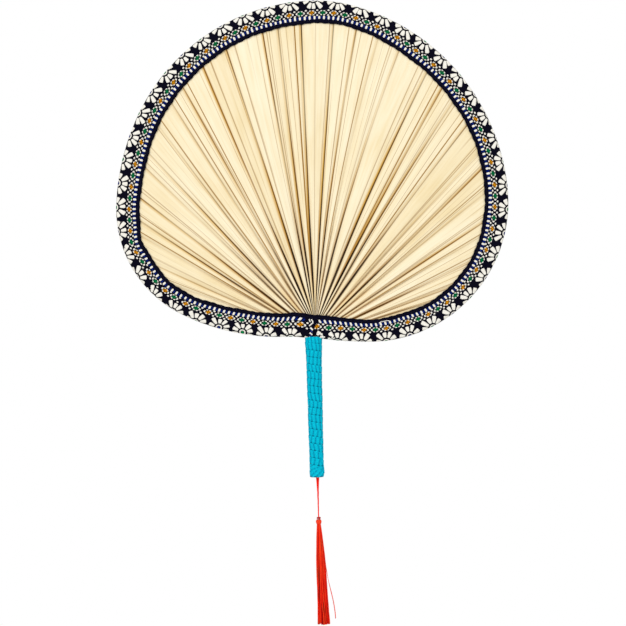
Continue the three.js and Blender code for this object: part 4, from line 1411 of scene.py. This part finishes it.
def build_head(context):
    """Thread wound over the tassel's folded head: a round dome drawn in to a neck."""
    red = context.scene.fan_colours.red
    # Painted highlight: the binding's orange stands for the light on the head's top
    material = thread_material("head_thread", srgb(255, 70, 38), srgb(255, 112, 66), red)
    steps, sides = 300, 6
    t = np.linspace(0, 1, steps)
    height = mix(*HEAD_ENDS, t)
    dome = np.sqrt(np.maximum(0.2, HEAD_RADIUS**2 - height**2))
    bulge = np.where(height > 0, dome, HEAD_RADIUS - 0.13 * height**2)
    turn = 2 * math.pi * HEAD_TURNS * t
    x, y = bulge * np.cos(turn) + CORD_X, HEAD_FLATNESS * bulge * np.sin(turn)
    path = np.stack([x, y, HEAD_Z + height], 1)
    points, faces = tubes(path[None], np.full((1, steps), HEAD_THREAD), sides, (0, 0, 1))
    run = np.repeat(np.arange(steps) * 0.2, sides)
    values = {"cloth_place": thread_values(run, len(points), 0.62)}
    return piece("head_binding", points, faces, material, "tassel", ["tassel_neck_thread"], values)


def build_shadow_core(material):
    """The bundle's dark inside: the folded head, and a painted shadow in the middle of the skirt."""
    rows = [(HEAD_Z + up, radius, 0.0) for up, radius in CORE_HEAD]
    for down in CORE_SKIRT:
        rows.append((mix(NECK_END, TASSEL_END, down), float(skirt_radius(down)) * CORE_SHARE, down))
    sides = 20
    turn = np.linspace(0, 2 * math.pi, sides, endpoint=False)
    rings = []
    for z, radius, down in rows:
        x = CORD_X + SKIRT_LEAN * down + radius * np.cos(turn)
        rings.append(np.stack([x, radius * np.sin(turn), np.full_like(turn, z)], 1))
    at = np.arange(len(rings) * sides).reshape(-1, sides)
    ahead = np.roll(at, -1, axis=1)
    quads = np.stack([at[:-1], ahead[:-1], ahead[1:], at[1:]], -1).reshape(-1, 4).tolist()
    faces = quads + [at[0, ::-1].tolist(), at[-1].tolist()]
    points = np.concatenate(rings)
    # Low tone: the core takes the dark colour, painted shade
    values = {"cloth_place": thread_values(points[:, 2] * 3, len(points), 0.1)}
    piece("tassel_shadow_core", points, faces, material, "tassel", (), values)


def build_threads(context):
    """The skirt: seeded threads that fall in five locks and spread towards their ends."""
    count = context.scene.fan_sizes.strands
    rng = np.random.default_rng(TASSEL_SEED)
    steps, sides = 16, 4
    down = np.linspace(0, 1, steps)[None]
    around = rng.uniform(0, 2 * math.pi, (count, 1))
    depth = np.sqrt(rng.uniform(0.3, 1, (count, 1)))
    strays = len(STRAY_ANGLES)
    stray = np.arange(count)[:, None] < strays
    around[:strays, 0] = STRAY_ANGLES
    depth[:strays] = 1
    pull = LOCK_PULL * np.sin(LOCKS * around + math.pi / 2) * ease(down, 0.05, 0.6)
    angle = around - pull + 0.15 * np.sin(down * 5 + around * 3)
    in_lock = np.cos(LOCKS * angle + math.pi / 2)
    radius = skirt_radius(down) * mix(depth, 0.35 + 0.65 * depth, down)
    radius = radius * (1 + LOCK_PUSH * in_lock * ease(down, 0.1, 0.5))
    radius = radius + stray * STRAY_REACH * ease(down, 0.36, 1.0)
    wave = rng.uniform(0, 2 * math.pi, (count, 3, 1))
    swing = THREAD_SWING * ease(down, 0.1, 1.0)
    x = CORD_X + SKIRT_LEAN * down + radius * np.cos(angle) + swing * np.sin(down * 9 + wave[:, 0])
    y = radius * np.sin(angle) + swing * np.sin(down * 8 + wave[:, 1])
    length_share = 1 - np.abs(rng.normal(0, 0.012, (count, 1))) - stray * STRAY_SHORTER
    z = mix(NECK_END + THREADS_IN_HEAD, mix(NECK_END, TASSEL_END, length_share), down)
    thickness = np.broadcast_to(mix(*THREAD_RADII, down), (count, steps))
    points, faces = tubes(np.stack([x, y, z], -1), thickness, sides, (0, 1, 0))
    # Each thread's tone runs from painted shade to painted highlight: lighter towards the right side, on the
    # locks' crests and in streaks, darker between the locks
    tone = 0.58 + 0.12 * np.cos(angle) + 0.17 * in_lock + rng.uniform(-0.24, 0.24, (count, 1))
    tone = tone + 0.5 * np.sin(around * 17 + 2 * np.sin(around * 5) + down * 5)
    tone = np.clip(tone + 0.16 * np.sin(down * 26 + wave[:, 2]), 0, 1)
    values = np.zeros((len(points), 3))
    values[:, 0] = np.repeat(-z.ravel(), sides)
    values[:, 2] = np.repeat(tone.ravel(), sides)
    red = context.scene.fan_colours.red
    material = thread_material("silk_thread", red, srgb(255, 88, 40), srgb(128, 0, 4))
    piece("tassel_threads", points, faces, material, "tassel", ["tassel_strands"],
          {"cloth_place": values})
    build_shadow_core(material)


# Stage

def add_camera(scene):
    """The camera square to the fan's face, turned so that the fan leans as in the photograph."""
    x, z = PICTURE_CENTRE
    camera = bpy.data.cameras.new("camera")
    camera.lens = CAMERA_LENS
    camera.sensor_width = 36
    camera.clip_end = 20
    eye = bpy.data.objects.new("camera", camera)
    eye.location = (x * MM, -CAMERA_DISTANCE * MM, z * MM)
    eye.rotation_euler = (math.pi / 2, math.radians(FAN_LEAN), 0)
    scene.collection.objects.link(eye)
    scene.camera = eye


def add_lamp(scene, name, place, size, power):
    """A soft square lamp turned towards the middle of the fan."""
    lamp = bpy.data.lights.new(name, "AREA")
    lamp.size = size
    lamp.energy = power
    made = bpy.data.objects.new(name, lamp)
    made.location = place
    way = np.array(LAMPS_AIM) - np.array(place)
    made.rotation_euler = (math.acos(-way[2] / np.linalg.norm(way)), 0, math.atan2(-way[0], way[1]))
    scene.collection.objects.link(made)


def add_surround(scene):
    """A white surround behind the fan and in its gloss, and a dimmer one that lights it."""
    world = bpy.data.worlds.new("surround")
    world.use_nodes = True
    scene.world = world
    tree = Tree(world.node_tree)
    world.node_tree.nodes.clear()
    path = tree.add("ShaderNodeLightPath").outputs
    seen = tree.math("MAXIMUM", path["Is Camera Ray"], path["Is Glossy Ray"])
    seen = tree.math("MAXIMUM", seen, path["Is Transmission Ray"])
    dim, white = (
        tree.add("ShaderNodeBackground", {"Color": (1, 1, 1), "Strength": strength}).outputs[0]
        for strength in (SURROUND_LIGHT, 1.0)
    )
    both = tree.add("ShaderNodeMixShader", {0: seen, 1: dim, 2: white}).outputs[0]
    tree.add("ShaderNodeOutputWorld", {"Surface": both})


def add_floor(scene):
    """A round pale floor under the hanging tassel."""
    sides = 64
    turn = np.linspace(0, 2 * math.pi, sides, endpoint=False)
    ring = np.stack([FLOOR_RADIUS * np.cos(turn), FLOOR_RADIUS * np.sin(turn), np.full(sides, FLOOR_Z)], 1)
    mesh = bpy.data.meshes.new("floor")
    mesh.from_pydata(ring.tolist(), [], [list(range(sides))])
    material, tree = new_material("pale_floor")
    place = tree.add("ShaderNodeTexCoord").outputs["Object"]
    base = tree.mix(tree.noise(place, 60.0), (0.93, 0.93, 0.92), (0.9, 0.9, 0.9))
    tree.surface(base_color=base, roughness=0.9)
    mesh.materials.append(material)
    floor = bpy.data.objects.new("floor", mesh)
    scene.collection.objects.link(floor)


def build_stage(context):
    """Pale floor, soft lamps, a white surround and the camera at the photograph's angle."""
    scene = context.scene
    add_camera(scene)
    for lamp in LAMPS:
        add_lamp(scene, *lamp)
    add_surround(scene)
    add_floor(scene)
    scene.view_settings.view_transform = "Standard"


def dress_nodes(context):
    """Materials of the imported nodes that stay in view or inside."""
    colours = context.scene.fan_colours
    cane = wood_material("split_bamboo", colours.cane, srgb(120, 84, 40), 3.0)
    finishes = {
        "leaf_stalk": wood_material("scraped_stalk", colours.stalk, srgb(140, 104, 58), 2.2),
        "rim_cane_front": cane,
        "rim_cane_back": cane,
        "cord_root_knot": plain_red_material(colours),
    }
    for name, material in finishes.items():
        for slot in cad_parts[name].material_slots:
            slot.material = material


class FAN_OT_stage(bpy.types.Operator):
    """Add the floor, lamps, surround and camera"""
    bl_idname = "fan.stage"
    bl_label = "Stage"

    def execute(self, context):
        build_stage(context)
        return {"FINISHED"}


class FAN_OT_tassel(bpy.types.Operator):
    """Add the cord, its knot, the bound head and the threads of the tassel"""
    bl_idname = "fan.tassel"
    bl_label = "Cord and tassel"

    def execute(self, context):
        cord, splay, path = build_cord(context)
        knot = build_knot()
        head = build_head(context)
        build_threads(context)
        return {"FINISHED"}


class FAN_OT_leaf(bpy.types.Operator):
    """Add the pleated palm leaf"""
    bl_idname = "fan.leaf"
    bl_label = "Leaf"

    def execute(self, context):
        build_leaf(context)
        return {"FINISHED"}


class FAN_OT_ribbon(bpy.types.Operator):
    """Add the woven ribbon with its figures and stitches"""
    bl_idname = "fan.ribbon"
    bl_label = "Ribbon"

    def execute(self, context):
        band, width, run = build_ribbon_band(context)
        figures = build_figures(context)
        stitches = build_stitches()
        return {"FINISHED"}


class FAN_OT_handle(bpy.types.Operator):
    """Add the wound tape and finish the stalk and canes"""
    bl_idname = "fan.handle"
    bl_label = "Handle"

    def execute(self, context):
        build_tape(context)
        dress_nodes(context)
        return {"FINISHED"}


class FAN_PT_panel(bpy.types.Panel):
    """Sizes, colours and steps of the palm leaf fan"""
    bl_idname = "FAN_PT_panel"
    bl_label = "Palm leaf fan"
    bl_space_type = "VIEW_3D"
    bl_region_type = "UI"
    bl_category = "Palm fan"

    def draw(self, context):
        for group in (context.scene.fan_sizes, context.scene.fan_colours):
            column = self.layout.column()
            for key in group.__annotations__:
                column.prop(group, key)
        for operator in OPERATORS:
            self.layout.operator(operator.bl_idname)


OPERATORS = (FAN_OT_stage, FAN_OT_tassel, FAN_OT_leaf, FAN_OT_ribbon, FAN_OT_handle)
CLASSES = (FanSizes, FanColours, *OPERATORS, FAN_PT_panel)


def register():
    for each in CLASSES:
        bpy.utils.register_class(each)
    bpy.types.Scene.fan_sizes = PointerProperty(type=FanSizes)
    bpy.types.Scene.fan_colours = PointerProperty(type=FanColours)


def unregister():
    del bpy.types.Scene.fan_sizes
    del bpy.types.Scene.fan_colours
    for each in reversed(CLASSES):
        bpy.utils.unregister_class(each)


def main():
    register()
    bpy.ops.fan.stage()
    bpy.ops.fan.tassel()
    bpy.ops.fan.leaf()
    bpy.ops.fan.ribbon()
    bpy.ops.fan.handle()
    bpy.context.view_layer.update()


if __name__ == "__main__":
    main()
